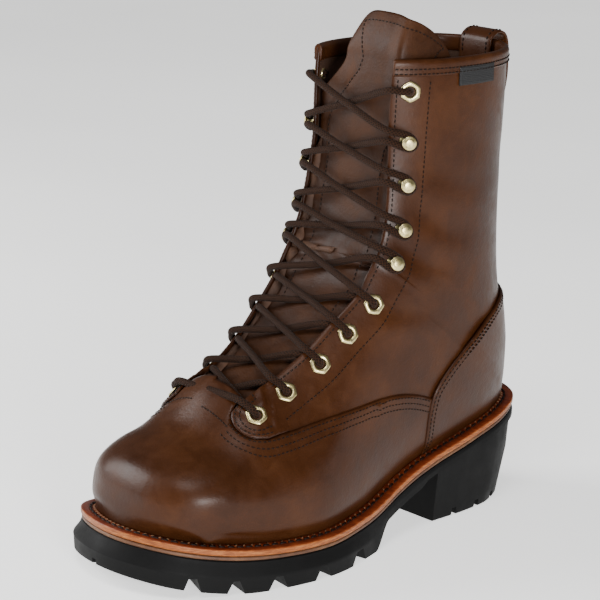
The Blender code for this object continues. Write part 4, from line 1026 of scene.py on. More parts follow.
def woven_tag():
    """Tightly woven polyester tag, warp and weft 0.5 mm apart, drawn twice as coarse to show."""
    made, tree, shader, place = new_finish("woven_tag", 0.8)
    threads = []
    for bands in ("Y", "Z"):
        inputs = {"Vector": place, "Scale": 320.0, "Distortion": 0.0}
        wave = add_node(tree, "ShaderNodeTexWave", inputs, bands_direction=bands)
        threads.append(wave.outputs["Fac"])
    weave = calculate(tree, "MULTIPLY", *threads)
    # The colour follows the weave's relief: painted shade where the threads sink, lighter where both sets rise
    dress(
        tree, shader, Base_Color=ramp(tree, weave, ((0.0, "#0b0b0c"), (1.0, "#1d1d1f"))),
        Normal=bump(tree, weave, 0.5, 0.0003),
    )
    return made


BROWNS = ((0.34, "#2d1506"), (0.50, "#371c0a"), (0.66, "#42240f"))
OXBLOOD = waxed_leather("waxed_leather", BROWNS)
PANEL = waxed_leather("waxed_leather_panel", BROWNS, edged=True)
SOFT = waxed_leather(
    "soft_waxed_leather", ((0.32, "#231106"), (0.50, "#311a0b"), (0.68, "#422613")),
    roughness=0.5, coat=0.03, grain=1.5,
)
LINING = plain_leather("lining_leather", ((0.3, "#2e1a0d"), (0.5, "#402614"), (0.7, "#53341f")), 0.75)
FOOTBED = plain_leather("footbed_leather", ((0.3, "#8c6a45"), (0.5, "#a8845b"), (0.7, "#bd9c74")), 0.85)
WELT = welt_finish()
MIDSOLE = plain_leather("midsole_edge", ((0.3, "#2c180b"), (0.5, "#54331c"), (0.7, "#75502f")), 0.6, 240.0)
RUBBER = moulded_rubber()
BRASS = antique_brass()
LACE = braided_lace()
THREAD = sewing_thread("brown_thread", "#160b05")
WELT_THREAD = sewing_thread("welt_thread", "#7d5b42", 0.5)
DARK_THREAD = sewing_thread("welt_seam", "#180c07")
TAG = woven_tag()


# The upper


def upper_numbers(first, last, rows_each=12):
    """Even section numbers, with the throat's own among them."""
    return place_along(first, last, int((last - first) * rows_each) + 1, (THROAT_SECTION,))


def upper_acrosses(first, last, each=34):
    """Even places across, closer beside the throat's edge."""
    base = np.linspace(first, last, int(abs(last - first) * each) + 1)
    extra = np.array([1.0, 1.012, 1.03, -1.0, -1.012, -1.03])
    low, high = min(first, last), max(first, last)
    extra = extra[(extra >= low) & (extra <= high)]
    return np.unique(np.round(np.concatenate([base, extra]), 6))


def build_quarters():
    """The whole hollow wall with its throat open, leather outside and lining inside."""
    numbers = upper_numbers(-1.0, COLLAR_SECTION)
    acrosses = upper_acrosses(3.0, -3.0, 24)
    rows, columns = np.meshgrid(numbers, acrosses, indexing="ij")
    points = base_point(rows, columns)
    normals = base_normal(rows, columns)
    throat = np.where(rows >= THROAT_SECTION - 1e-6, (np.abs(columns) - 1.0) * 36.0, 9.0)
    rounding = 0.5 * (1.0 - ease(np.maximum(throat, 0.0) / 1.4))
    field = vamp_field(points)
    rise = (LOBE_STEP - 0.35) * lobe_rise(points) * ease((-field - 0.8) / 3.0)
    lift = upper_lift(points) + rise + np.where(field < 0.0, wrinkle_height(points), 0.0)
    shaped = relax(points + normals * (lift - rounding)[..., None], rows, columns)
    faces = grid_faces(*rows.shape)
    flat_rows, flat_columns = rows.ravel(), columns.ravel()
    in_throat = (flat_rows[faces].min(axis=1) >= THROAT_SECTION - 1e-6) & (
        np.abs(flat_columns[faces]).max(axis=1) <= 1.0 + 1e-6
    )
    edge = np.where(rows >= THROAT_SECTION, np.maximum(throat, 0.0), 9.0)
    flat_points, groups, edge = keep_used(shaped.reshape(-1, 3), [faces[~in_throat]], edge.ravel())
    piece = add_mesh("quarters", flat_points, groups, [PANEL, LINING], {"edge": edge})
    solidify(piece, QUARTER_THICKNESS, 1)
    return settle(piece, "upper")


def vamp_lift(points):
    """Height of the vamp's face over the base: its whole step, thinned towards the welt."""
    return 0.3 + (VAMP_STEP - 0.3) * above_welt(points)


def lobe_lift(points):
    """The lobes lie on the vamp at their front and merge with the quarters behind."""
    rise = lobe_rise(points)
    return LOBE_STEP * rise - 0.5 * (1.0 - rise) + wrinkle_height(points)


def counter_lift(points):
    """Height of the counter's face over the base: its whole step, thinned towards the welt."""
    return 0.9 + (COUNTER_STEP - 0.9) * above_welt(points)


def strip_field(points):
    """Distance inside the edge of the strip over the back seam."""
    return STRIP_HALF_WIDTH - np.abs(points[..., 0])


def strip_lift(points):
    """Height of the back strip's face over the base."""
    return np.full(points.shape[:-1], STRIP_THICKNESS)


def build_panels():
    """Vamp over the whole front, then on each side the lobe, the heel counter and the back strip."""
    panel(
        "vamp", upper_numbers(-1.0, 11.0), upper_acrosses(3.0, -3.0, 30), vamp_field, vamp_lift,
        VAMP_THICKNESS, [PANEL],
    )
    for word, side in (("outer", 1), ("inner", -1)):
        lobe = LOBES[0] if side > 0 else LOBES[1]

        def lobe_field(points, lobe=lobe):
            """Distance inside the lobe's edge: the quarter's front edge, and a cut 20 mm behind the lobe."""
            rear = lobe[1] + 20.0 - points[..., 1]
            return np.minimum(-vamp_field(points), rear)

        panel(
            f"lobe_{word}", upper_numbers(3.9, 6.8, 34), upper_acrosses(side * 1.0, side * 2.2, 60),
            lobe_field, lobe_lift, LOBE_THICKNESS, [PANEL],
        )
        panel(
            f"counter_{word}", upper_numbers(1.0, 17.5, 14), upper_acrosses(side * 1.3, side * 3.0, 44),
            counter_field, counter_lift, COUNTER_THICKNESS, [PANEL],
        )
        panel(
            f"back_strip_{word}", upper_numbers(15.5, COLLAR_SECTION),
            upper_acrosses(side * 2.3, side * 3.0, 50), strip_field, strip_lift, STRIP_THICKNESS, [PANEL],
        )


def collar_edge():
    """The collar's edge from the throat round the back to the throat, and its level outward normals."""
    side = np.linspace(1.0, 3.0, 90)
    across = np.concatenate([side, -side[::-1][1:]])
    normals = base_normal(float(COLLAR_SECTION), across)
    normals[:, 2] = 0.0
    return base_point(float(COLLAR_SECTION), across), unit(normals)


def build_binding():
    """Rolled strip sewn over the collar: a closed profile carried round the collar's edge."""
    spots, normals = collar_edge()
    lifted = upper_lift(spots)
    # Columns: distance out from the base, height over the collar's edge
    profile = np.array((
        (-0.3, -7.6), (0.75, -7.4), (1.15, -6.6), (1.0, -5.0), (1.15, -3.2), (1.35, -0.8), (0.9, 0.9),
        (-0.4, 1.8), (-1.9, 1.7), (-3.1, 0.7), (-3.5, -0.9), (-3.3, -5.0), (-3.1, -7.8), (-2.2, -8.0),
    ))
    points = (
        spots[:, None, :]
        + normals[:, None, :] * (profile[None, :, 0] + lifted[:, None])[..., None]
        + np.array([0.0, 0.0, 1.0]) * profile[None, :, 1][..., None]
    )
    count, sides = points.shape[:2]
    faces = grid_faces(count, sides, close_columns=True)
    caps = np.array([list(range(sides))[::-1], list(range((count - 1) * sides, count * sides))])
    piece = add_mesh("collar_binding", points.reshape(-1, 3), [faces, caps], [OXBLOOD])
    smooth = piece.modifiers.new("smooth", "SUBSURF")
    smooth.levels = smooth.render_levels = 1
    return settle(piece, None)


def soften(line, reach):
    """Running mean of a traced line, which rounds its corners."""
    return np.stack([np.convolve(line[:, i], np.full(reach, 1.0 / reach), "valid") for i in range(2)], axis=1)


def edge_run(side, distance, first, last):
    """A seam at a set distance from the throat's edge, between two sections."""
    numbers = np.linspace(first, last, 120)
    line = np.column_stack([numbers, across_at(numbers, side, distance)])
    return resample(
        line, STITCH_SPACING, lambda points: LOBE_STEP * lobe_rise(points) + wrinkle_height(points)
    )


def build_seams():
    """Stitch rows of the vamp, lobes, counter, facing and back strip."""
    runs = []
    reach_in = abs(LOBES[0][0]) - 7.0
    numbers = np.linspace(2.0, 11.0, 240)
    for level in VAMP_ROWS:
        for side in (1, -1):
            line = soften(trace(vamp_field, level, numbers, side * np.linspace(0.0, 3.0, 200)), 19)
            run = resample(line, STITCH_SPACING, vamp_lift)
            runs.append(only(run, (counter_field(run[0]) < -0.8) & (np.abs(run[0][:, 0]) > reach_in)))
    for side in (1, -1):
        acrosses = side * np.linspace(0.0, 2.0, 120)
        line = trace(lambda points: vamp_field(points, True), JOINED_ROW, numbers, acrosses)
        run = resample(line, 2.2, vamp_lift)
        off_middle = np.abs(run[0][:, 0])
        runs.append(only(run, (off_middle <= reach_in) & (off_middle > 4.0)))
        lobe = LOBES[0] if side > 0 else LOBES[1]
        beside = np.linspace(3.9, 6.8, 200), side * np.linspace(1.0, 2.2, 120)
        for level in LOBE_ROWS:
            line = trace(lambda points: -vamp_field(points), level, *beside)
            run = resample(line, 2.4, lobe_lift)
            runs.append(only(run, run[0][:, 1] < lobe[1] + 4.0))
    numbers = np.linspace(1.0, 17.4, 320)
    for level in COUNTER_ROWS:
        for side in (1, -1):
            line = trace(counter_field, level, numbers, side * np.linspace(1.3, 2.995, 160))
            runs.append(resample(line, STITCH_SPACING, counter_lift))
    numbers = np.linspace(15.5, COLLAR_SECTION - 0.5, 60)
    for side in (1, -1):
        for distance, first in FACING_ROWS:
            runs.append(edge_run(side, distance, first, COLLAR_SECTION - 0.6))
        line = trace(strip_field, STRIP_ROW, numbers, side * np.linspace(2.3, 2.995, 60))
        run = resample(line, STITCH_SPACING, strip_lift)
        runs.append(only(run, counter_field(run[0]) < -0.5))
    return sew("seams", runs, THREAD, "upper_leather")


def build_collar_seams():
    """Two rows of stitches round the collar's binding."""
    runs = []
    edge, outward = collar_edge()
    for drop in COLLAR_ROWS:
        spots = edge + outward * (1.3 + upper_lift(edge))[:, None] - np.array([0.0, 0.0, drop])
        steps = run_lengths(spots)
        wanted = np.arange(2.0, steps[-1] - 2.0, STITCH_SPACING)
        spots = values_at(wanted, steps, spots)
        runs.append((spots, unit(np.gradient(spots, axis=0)), values_at(wanted, steps, outward)))
    return sew("collar_seams", runs, THREAD, "upper_leather")


# The tongue

TONGUE_START = THROAT_SECTION + 0.1
TONGUE_OVERLAP = 9.0
TONGUE_RISE = 22.0
TONGUE_WRAP = 30.0


def spread(control, places):
    """Smooth curve through control points along an array's second axis."""
    moved = np.moveaxis(control, 1, 0)
    last = len(moved) - 1
    number = np.minimum(places.astype(int), last - 1)
    padded = np.concatenate([[2 * moved[0] - moved[1]], moved, [2 * moved[-1] - moved[-2]]])
    share = (places - number)[:, None, None]
    curve = cubic(padded[number], padded[number + 1], padded[number + 2], padded[number + 3], share)
    return np.moveaxis(curve, 0, 1)


def build_tongue():
    """Padded sheet behind the lacing: sections between the flaps, carried on to a rounded free end."""
    numbers = np.linspace(TONGUE_START, COLLAR_SECTION, 150)
    share = (numbers - numbers[0]) / (numbers[-1] - numbers[0])
    tuck = WALL + np.interp(share, (0.0, 0.08, 0.9, 1.0), (1.1, 2.9, 3.1, 3.1))
    front = base_point(numbers, 0.0)
    outer_edge = base_point(numbers, 1.0)
    inner_edge = base_point(numbers, -1.0)
    up = front - (outer_edge + inner_edge) / 2
    up /= np.linalg.norm(up, axis=1)[:, None]
    columns = []
    for side in (1, -1):
        pair = []
        for step in (1.0, 0.5):
            wrap = TONGUE_WRAP + (12.0 if side > 0 else 0.0)
            overlap = TONGUE_OVERLAP + (wrap - TONGUE_OVERLAP) * ease((share - 0.72) / 0.28)
            across = across_at(numbers, side, overlap * step)
            pair.append(base_point(numbers, across) - base_normal(numbers, across) * tuck[:, None])
        columns.append(pair)
    middle = []
    for place in np.arange(7) / 6.0:
        arch = 1.0 - (2.0 * place - 1.0) ** 2
        start = outer_edge - up * tuck[:, None]
        end = inner_edge - up * tuck[:, None]
        middle.append(start + (end - start) * place + up * ((tuck - 3.2) * arch)[:, None])
    control = np.stack(columns[0] + middle + columns[1][::-1], axis=1)
    grid = spread(control, np.linspace(0.0, control.shape[1] - 1.0, 96))
    # Near the collar the sheet ends 16 mm short of the inner flap, as it is worn over to the outer side
    lengths = np.linalg.norm(np.diff(grid, axis=1), axis=2)
    lengths = np.concatenate([np.zeros((len(grid), 1)), np.cumsum(lengths, axis=1)], axis=1)
    short = ease((share - 0.82) / 0.18) * (TONGUE_WRAP + 16.0)
    for row in range(len(grid)):
        wanted = np.linspace(0.0, lengths[row, -1] - short[row], grid.shape[1])
        grid[row] = values_at(wanted, lengths[row], grid[row])
    last = grid[-1]
    half = (last[0, 0] - last[-1, 0]) / 2
    middle_x = last[:, 0].mean()
    x = (last[:, 0] - middle_x) / half
    steps = run_lengths(last)
    place = steps / steps[-1]
    # The free edge is highest at 0.74 of its run, and falls far on the outer side and less on the inner
    outer_fall = np.abs(1.0 - place / 0.74) ** 2.4
    inner_fall = 0.6 * np.abs((place - 0.74) / 0.26) ** 4
    fall = 1.0 - np.where(place < 0.74, outer_fall, inner_fall)
    free = []
    for share_up in np.linspace(0.0, 1.0, 25)[1:]:
        row = last.copy()
        row[:, 0] = middle_x + x * half * (1.0 - 0.05 * share_up**2)
        row[:, 1] = last[:, 1] + 9.0 * share_up**2 * fall
        row[:, 2] = last[:, 2] + (TONGUE_RISE + 2.0) * share_up * fall + 1.0 * share_up
        free.append(row)
    grid = np.concatenate([grid, np.array(free)])
    normal = np.cross(np.gradient(grid, axis=1), np.gradient(grid, axis=0))
    normal /= np.linalg.norm(normal, axis=2)[..., None]
    if normal[70, 48].dot((0.0, -1.0, 0.6)) < 0:
        normal = -normal
    rows = np.linspace(0.0, 1.0, len(grid))[:, None]
    places = np.linspace(-1.0, 1.0, grid.shape[1])[None, :]
    folds = 0.8 * np.sin(rows * 60.0 + 2.0 * np.sin(places * 3.0 + rows * 9.0)) * ease((0.75 - rows) / 0.3)
    folds = folds * (0.4 + 0.6 * np.abs(places)) - 0.5
    pillow = -0.7 * np.exp(-(((np.abs(places) - 0.62) / 0.06) ** 2))
    pillow = pillow * ease((rows - 0.5) / 0.2) * ease((0.86 - rows) / 0.12)
    grid = grid + normal * (folds + pillow)[..., None]
    piece = add_mesh("tongue_leather", grid.reshape(-1, 3), [grid_faces(*grid.shape[:2])], [SOFT, LINING])
    if (normal[70, 48] - np.array(piece.data.polygons[70 * 95 + 48].normal)).dot(normal[70, 48]) > 1.0:
        piece.data.flip_normals()
    solidify(piece, TONGUE_THICKNESS, 1)
    settle(piece, "tongue")
    row = np.arange(34, len(grid) - 5)
    column = np.interp(row, (34, 120, 150, len(grid) - 6), (22.0, 22.0, 17.0, 10.0)).astype(int)
    path = np.concatenate([grid[row, column], grid[-6, 11:85], grid[row[::-1], 95 - column[::-1]]])
    sheet = np.concatenate([normal[row, column], normal[-6, 11:85], normal[row[::-1], 95 - column[::-1]]])
    steps = run_lengths(path)
    wanted = np.arange(1.0, steps[-1], STITCH_SPACING)
    spots = values_at(wanted, steps, path)
    run = spots, unit(np.gradient(spots, axis=0)), values_at(wanted, steps, sheet)
    sew("tongue_seam", [run], THREAD, "tongue_leather")
    return piece


# The sole


def ring_mesh(name, levels, finish, closed_ring, marks=None):
    """Side faces between levels of a loop, with caps of facing pairs of points, or a closed ring."""
    count = len(levels[0])
    total = len(levels)
    points = np.vstack(levels)
    groups = [grid_faces(total, count, close_rows=closed_ring, close_columns=True)]
    if not closed_ring:
        half = count // 2
        i = np.arange(1, half - 1)
        quads = np.stack([i, i + 1, count - i - 1, count - i], axis=1)
        ends = np.array([[0, 1, count - 1], [half - 1, half, half + 1]])
        top = (total - 1) * count
        groups += [quads[:, ::-1], ends[:, ::-1], quads + top, ends + top]
    piece = add_mesh(name, points, groups, [finish], marks)
    face_outward(piece)
    return piece


def welt_line(count, inset, rise):
    """A loop on the welt's top, moved in from its edge and raised."""
    loop = plan_loop(count, inset)
    return np.column_stack([loop, welt_top(along_at(loop[:, 1])) + rise])


def build_welt(count=420):
    """Welt with rounded corners and a groove on top, the long stitches in the groove and ticks beside it."""
    # Columns: inset from the edge, height over the top
    profile = (
        (24.0, 0.0), (9.0, 0.0), (7.0, 0.0), (6.1, -0.1), (5.4, -0.55), (4.7, -0.1), (3.0, 0.05), (1.3, 0.0),
        (0.5, -0.25), (0.05, -0.8), (0.0, -1.4), (0.15, -2.0), (0.0, -2.6), (0.1, -3.3), (0.6, -3.85),
        (1.5, -4.0), (24.0, -4.0),
    )
    levels = [welt_line(count, inset, height) for inset, height in profile]
    top = [np.full(count, 1.0 if height > -0.7 and inset > 0.3 else 0.0) for inset, height in profile]
    piece = ring_mesh("welt_strip", levels, WELT, True, {"top": np.concatenate(top)})
    settle(piece, "welt")
    path = welt_line(1400, WELT_SEAM_INSET, -0.25)
    path = np.vstack([path, path[:1]])
    steps = run_lengths(path)
    wanted = np.arange(2.0, steps[-1] - 2.0, 5.2)
    spots = values_at(wanted, steps, path)
    run = spots, unit(values_at(wanted + 0.5, steps, path) - spots), np.tile([0.0, 0.0, 1.0], (len(spots), 1))
    sew("welt_seam", [run], DARK_THREAD, "welt_leather", length=4.3, width=1.5, height=0.9)
    ticks = 150
    path = welt_line(1400, WELT_TICK_INSET, 0.05)
    every = len(path) // ticks
    spots = path[::every][:ticks]
    tangents = unit(np.roll(path, -3, axis=0)[::every][:ticks] - spots)
    up = np.tile([0.0, 0.0, 1.0], (ticks, 1))
    slant = tangents * 0.6 + np.cross(up, tangents) * 0.8
    sew("welt_ticks", [(spots, slant, up)], WELT_THREAD, "welt_leather", length=1.9, width=0.7, height=0.5)
    return piece


def build_midsole(count=420):
    """Thin layer under the welt, its edge a little rounded and set in."""
    levels = []
    for inset, share in ((1.3, 0.0), (0.8, 0.2), (0.75, 0.8), (1.3, 1.0)):
        loop = plan_loop(count, inset)
        height = midsole_top(along_at(loop[:, 1])) - share * MIDSOLE_THICKNESS
        levels.append(np.column_stack([loop, height]))
    return settle(ring_mesh("midsole_layer", levels, MIDSOLE, False), "midsole")


def wedge(name, centre, direction, length, breadth, top_breadth, low, high):
    """A groove cutter: a bar lying along a direction, broad at the ground and narrower above."""
    direction = np.array([direction[0], direction[1], 0.0])
    direction /= np.linalg.norm(direction)
    side = np.array([-direction[1], direction[0], 0.0])
    points = []
    for reach in (-0.5, 0.5):
        corners = (-breadth / 2, low), (breadth / 2, low), (top_breadth / 2, high), (-top_breadth / 2, high)
        for half, height in corners:
            point = np.array([centre[0], centre[1], 0.0]) + direction * reach * length + side * half
            point[2] = height
            points.append(point)
    faces = np.array([(0, 1, 2, 3), (4, 7, 6, 5), (0, 4, 5, 1), (1, 5, 6, 2), (2, 6, 7, 3), (3, 7, 4, 0)])
    made = add_mesh(name, np.array(points), [faces], [RUBBER])
    face_outward(made)
    return made


def edge_x(along, side):
    """Where the welt's edge lies across at a share along, on one side."""
    loop = plan_loop(920)
    tip = int(np.argmin(loop[:, 1]))
    run = loop[: tip + 1] if side > 0 else np.vstack([loop[tip:], loop[:1]])[::-1]
    return float(np.interp(-y_at(along), -run[:, 1], run[:, 0]))


def carve(piece, cutters):
    """Cuts the grooves for good and removes their cutters."""
    for cutter in cutters:
        boolean = piece.modifiers.new(cutter.name, "BOOLEAN")
        boolean.object = cutter
        boolean.operation = "DIFFERENCE"
        boolean.solver = "EXACT"
    graph = bpy.context.evaluated_depsgraph_get()
    carved = bpy.data.meshes.new_from_object(piece.evaluated_get(graph))
    piece.modifiers.clear()
    piece.data = carved
    for cutter in cutters:
        bpy.data.objects.remove(cutter, do_unlink=True)
    carved.shade_smooth()
    carved.set_sharp_from_angle(angle=math.radians(28.0))


def build_outsole(count=480):
    """Rubber unit: its side flares out at the forefoot, and the tread's grooves are cut for good."""
    along = along_at(plan_loop(count)[:, 1])
    flare = RUBBER_FLARE * (ease((along - TREAD_START) / 0.15) + 0.7 * ease((along - 0.88) / 0.12))
    top = rubber_top(along)
    bottom = rubber_underside(along)
    levels = []
    for share, inset in (
        (0.0, 1.4), (0.03, 0.7), (0.2, 0.3 - flare * 0.2), (0.42, -flare * 0.85), (0.5, -flare * 0.95),
        (0.56, -flare * 0.9), (1.0, -flare * 0.75),
    ):
        loop = plan_loop(count, inset)
        levels.append(np.column_stack([loop, top + (bottom - top) * share]))
    piece = ring_mesh("outsole_rubber", levels, RUBBER, False)
    cutters = []
    for number, (place, side, breadth, skew) in enumerate(GROOVES, 1):
        high = float(ground(place)) + LUG_DEPTH
        inner = side * CENTRE_BAR
        length = abs(edge_x(place, side) - inner) + 16.0
        angle = math.radians(skew)
        centre, direction = (inner + side * length / 2, y_at(place)), (math.cos(angle), math.sin(angle))
        cutters.append(
            wedge(f"groove_{number}", centre, direction, length, breadth + 5.0, breadth - 4.0, -2.0, high)
        )
    high = float(ground(1.0)) + 3.0
    cutters.append(wedge("toe_cut", (-3.5, y_at(1.0)), (0.0, 1.0), 12.0, 7.0, 3.0, -2.0, high))
    for number, place in enumerate(CENTRE_CUTS, 1):
        high = float(ground(place)) + LUG_DEPTH * 0.85
        centre, direction = (0.0, y_at(place)), (1.0, 0.0)
        cutters.append(wedge(f"centre_cut_{number}", centre, direction, 37.4, 8.0, 6.0, -2.0, high))
    carve(piece, cutters)
    return settle(piece, "outsole")


def build_heel(count=480):
    """Heel block: the plan's back, cut straight at the breast, tapered to the ground and notched."""
    along = along_at(plan_loop(count)[:, 1])
    half = count // 2
    reach = max(i for i in range(1, half) if max(along[i], along[count - i]) < BREAST_ALONG - 0.004)
    breast_y = y_at(BREAST_ALONG)
    taper = 1.0 - 0.6 * ease((along - 0.03) / 0.2)
    ground_inset = HEEL_TOP_INSET + (HEEL_GROUND_INSET - HEEL_TOP_INSET) * taper
    levels = []
    for inset, share in (
        (HEEL_TOP_INSET + 0.7, 1.0), (HEEL_TOP_INSET, 0.975), (HEEL_TOP_INSET + 0.8, 0.6),
        (0.35 * (HEEL_TOP_INSET + 0.8) + 0.65 * ground_inset, 0.21), (ground_inset - 0.2, 0.02),
        (ground_inset + 0.4, 0.0),
    ):
        loop = plan_loop(count, inset)
        outer = loop[: reach + 1]
        inner = loop[count - reach :]
        ring = np.vstack([outer, [(outer[-1, 0], breast_y), (inner[0, 0], breast_y)], inner])
        top = rubber_top(along_at(ring[:, 1])) - HEEL_LAYER - SEAT_GAP
        levels.append(np.column_stack([ring, top * share]))
    total = len(levels[0])
    points = np.vstack(levels)
    i = np.arange(1, reach + 1)
    pairs = np.stack([i, i + 1, total - i - 1, total - i], axis=1)
    base = (len(levels) - 1) * total
    first = np.array([[0, 1, total - 1]])
    groups = [grid_faces(len(levels), total, close_columns=True), pairs, first, pairs + base, first + base]
    piece = add_mesh("heel_rubber", points, groups, [RUBBER])
    face_outward(piece)
    cutters = []
    for number, (place, side) in enumerate(HEEL_NOTCHES, 1):
        if side:
            centre, direction = (edge_x(place, side) - side * HEEL_GROUND_INSET, y_at(place)), (1.0, 0.0)
        else:
            centre, direction = (0.0, y_at(0.0) - HEEL_GROUND_INSET), (0.0, 1.0)
        cutters.append(wedge(f"heel_notch_{number}", centre, direction, 20.0, 5.5, 3.5, -2.0, HEEL_NOTCH_DEPTH))
    carve(piece, cutters)
    return settle(piece, "heel")


# Loop and tag


def build_pull_loop():
    """Folded strap over the back of the collar: a rounded flat profile along the loop's path."""
    back = section_point(np.array(float(COLLAR_SECTION)), np.array(3.0))
    path = np.array([(back[1] + behind, back[2] + rise) for behind, rise in LOOP_PATH])
    steps = np.linspace(0, len(path) - 1, 97)
    line = np.column_stack([column_curve(path[:, 0], steps), column_curve(path[:, 1], steps)])
    tangent = unit(np.gradient(line, axis=0))
    side = np.column_stack([-tangent[:, 1], tangent[:, 0]])
    angles = np.linspace(0.0, 2 * math.pi, 28, endpoint=False)
    x = LOOP_HALF_WIDTH * np.sign(np.cos(angles)) * np.abs(np.cos(angles)) ** 0.35
    offset = LOOP_HALF_THICKNESS * np.sign(np.sin(angles)) * np.abs(np.sin(angles)) ** 0.6
    points = np.empty((len(line), len(angles), 3))
    points[..., 0] = x[None, :]
    points[..., 1] = line[:, None, 0] + side[:, None, 0] * offset[None, :]
    points[..., 2] = line[:, None, 1] + side[:, None, 1] * offset[None, :]
    count, sides = points.shape[:2]
    caps = np.array([list(range(sides))[::-1], list(range((count - 1) * sides, count * sides))])
    faces = grid_faces(count, sides, close_columns=True)
    piece = add_mesh("back_loop", points.reshape(-1, 3), [faces, caps], [OXBLOOD])
    face_outward(piece)
    settle(piece, "pull_loop")
    runs = []
    lengths = run_lengths(line)
    wanted = np.arange(20.0, lengths[-1] - 2.0, STITCH_SPACING)
    normals = np.column_stack([np.zeros(len(wanted)), values_at(wanted, lengths, side)])
    if normals[-1, 1] < 0:
        normals = -normals
    for edge in (3.0 - LOOP_HALF_WIDTH, LOOP_HALF_WIDTH - 3.0):
        spots = np.column_stack([np.full(len(wanted), edge), values_at(wanted, lengths, line)])
        spots = spots + normals * LOOP_HALF_THICKNESS
        runs.append((spots, unit(np.gradient(spots, axis=0)), normals))
    sew("loop_seams", runs, THREAD, "upper_leather")
    return piece


def build_side_tag():
    """Folded woven tag caught under the binding."""
    numbers = np.linspace(18.6, COLLAR_SECTION, 60)
    middle = y_at(TAG_ALONG)
    acrosses = np.linspace(1.0, 3.0, 300)
    points = base_point(numbers[:, None], acrosses[None, :])
    fall = collar_drop(points)
    rows = []
    for drop in np.linspace(*TAG_DROP, 10):
        row = []
        for y in middle + np.linspace(-TAG_HALF_WIDTH, TAG_HALF_WIDTH, 26):
            best = np.argmin((points[..., 1] - y) ** 2 + (fall - drop) ** 2)
            spot = points.reshape(-1, 3)[best].copy()
            spot[1:] = y, spot[2] + fall.ravel()[best] - drop
            row.append(spot)
        rows.append(row)
    grid = np.array(rows)
    # Laid on smooth curves through every fifth column and every third row, 1.2 mm off the leather
    smooth = spread(grid[:, ::5], np.linspace(0, 5, 26))[::3].transpose(1, 0, 2)
    smooth = spread(smooth, np.linspace(0, 3, 10)).transpose(1, 0, 2)
    grid[..., 0] = smooth[..., 0] + 1.2
    piece = add_mesh("woven_label", grid.reshape(-1, 3), [grid_faces(*grid.shape[:2])], [TAG])
    if piece.data.polygons[40].normal.x < 0:
        piece.data.flip_normals()
    solidify(piece, 0.9)
    return settle(piece, "side_tag")


# Lacing and its metal


def frame_of(normal, upward):
    """Two directions square to the normal, the second nearest to upward."""
    side = np.cross(upward, normal)
    side /= np.linalg.norm(side)
    return side, np.cross(normal, side)


def turned_points(profile, spot, normal, upward, sides, radius_at=None):
    """Points of a profile of radius and height turned about the normal."""
    first, second = frame_of(normal, upward)
    angles = np.arange(sides) * 2 * math.pi / sides
    profile = np.asarray(profile, float)
    radius = profile[:, 0][:, None] * np.ones(sides)
    if radius_at is not None:
        radius = radius_at(radius, angles[None, :])
    return (
        spot
        + profile[:, 1][:, None, None] * normal
        + (radius * np.cos(angles))[..., None] * first
        + (radius * np.sin(angles))[..., None] * second
    )


def hexagon(radius, angles):
    """Keeps round what lies within 4.2 mm and shapes the flange's rim into a soft hexagon."""
    wedge_angle = (angles + math.pi / 6) % (math.pi / 3) - math.pi / 6
    six = radius * (0.35 + 0.65 * math.cos(math.pi / 6) / np.cos(wedge_angle) / 0.95)
    return np.where(radius > 4.2, six, radius)


def seat_lift(station):
    """The lowest pair of eyelets stands on the lobes, the others on the base."""
    return LOBE_STEP if station == 0 else 0.0


# Flanged eyelet, rounded into its bore. Columns: radius, height over the leather
EYELET_PROFILE = (
    (3.1, -3.0), (3.2, 0.4), (5.5, 0.35), (5.85, 0.6), (5.7, 1.05), (4.9, 1.35), (3.9, 1.45), (3.1, 1.2),
    (2.65, 0.6), (2.6, -0.5), (2.65, -3.2),
)
# Speed hook: round base, neck and domed head. Columns: radius, height over the leather
HOOK_PROFILE = (
    (0.0, 0.3), (4.2, 0.3), (4.4, 0.7), (4.1, 1.1), (2.1, 1.4), (1.75, 2.0), (1.7, 4.6), (2.1, 5.1), (3.7, 5.2),
    (4.05, 5.5), (4.0, 6.1), (3.6, 6.45), (2.9, 6.5), (2.6, 6.8), (1.6, 7.05), (0.0, 7.1),
)


def build_metal(kind, profile, sides, hollow, radius_at=None):
    """The eyelets or the hooks at their stations, joined in one mesh for each side."""
    for side, word in ((1, "outer"), (-1, "inner")):
        all_points, all_faces, nodes, total = [], [], [], 0
        for station, (number, found) in enumerate(STATIONS):
            if found != kind:
                continue
            spot, normal, upward = edge_place(number, side, EYELET_FROM_EDGE)
            spot = spot + normal * seat_lift(station)
            points = turned_points(profile, spot, normal, upward, sides, radius_at)
            faces = grid_faces(len(profile), sides, close_rows=hollow, close_columns=True, start=total)
            all_points.append(points.reshape(-1, 3))
            all_faces.append(faces)
            total += len(profile) * sides
            nodes.append(f"{kind}_{word}_{station + 1}")
        piece = add_mesh(f"{kind}s_{word}", np.vstack(all_points), [np.vstack(all_faces)], [BRASS])
        face_outward(piece, join=not hollow)
        piece.data.shade_smooth()
        settle(piece, nodes)


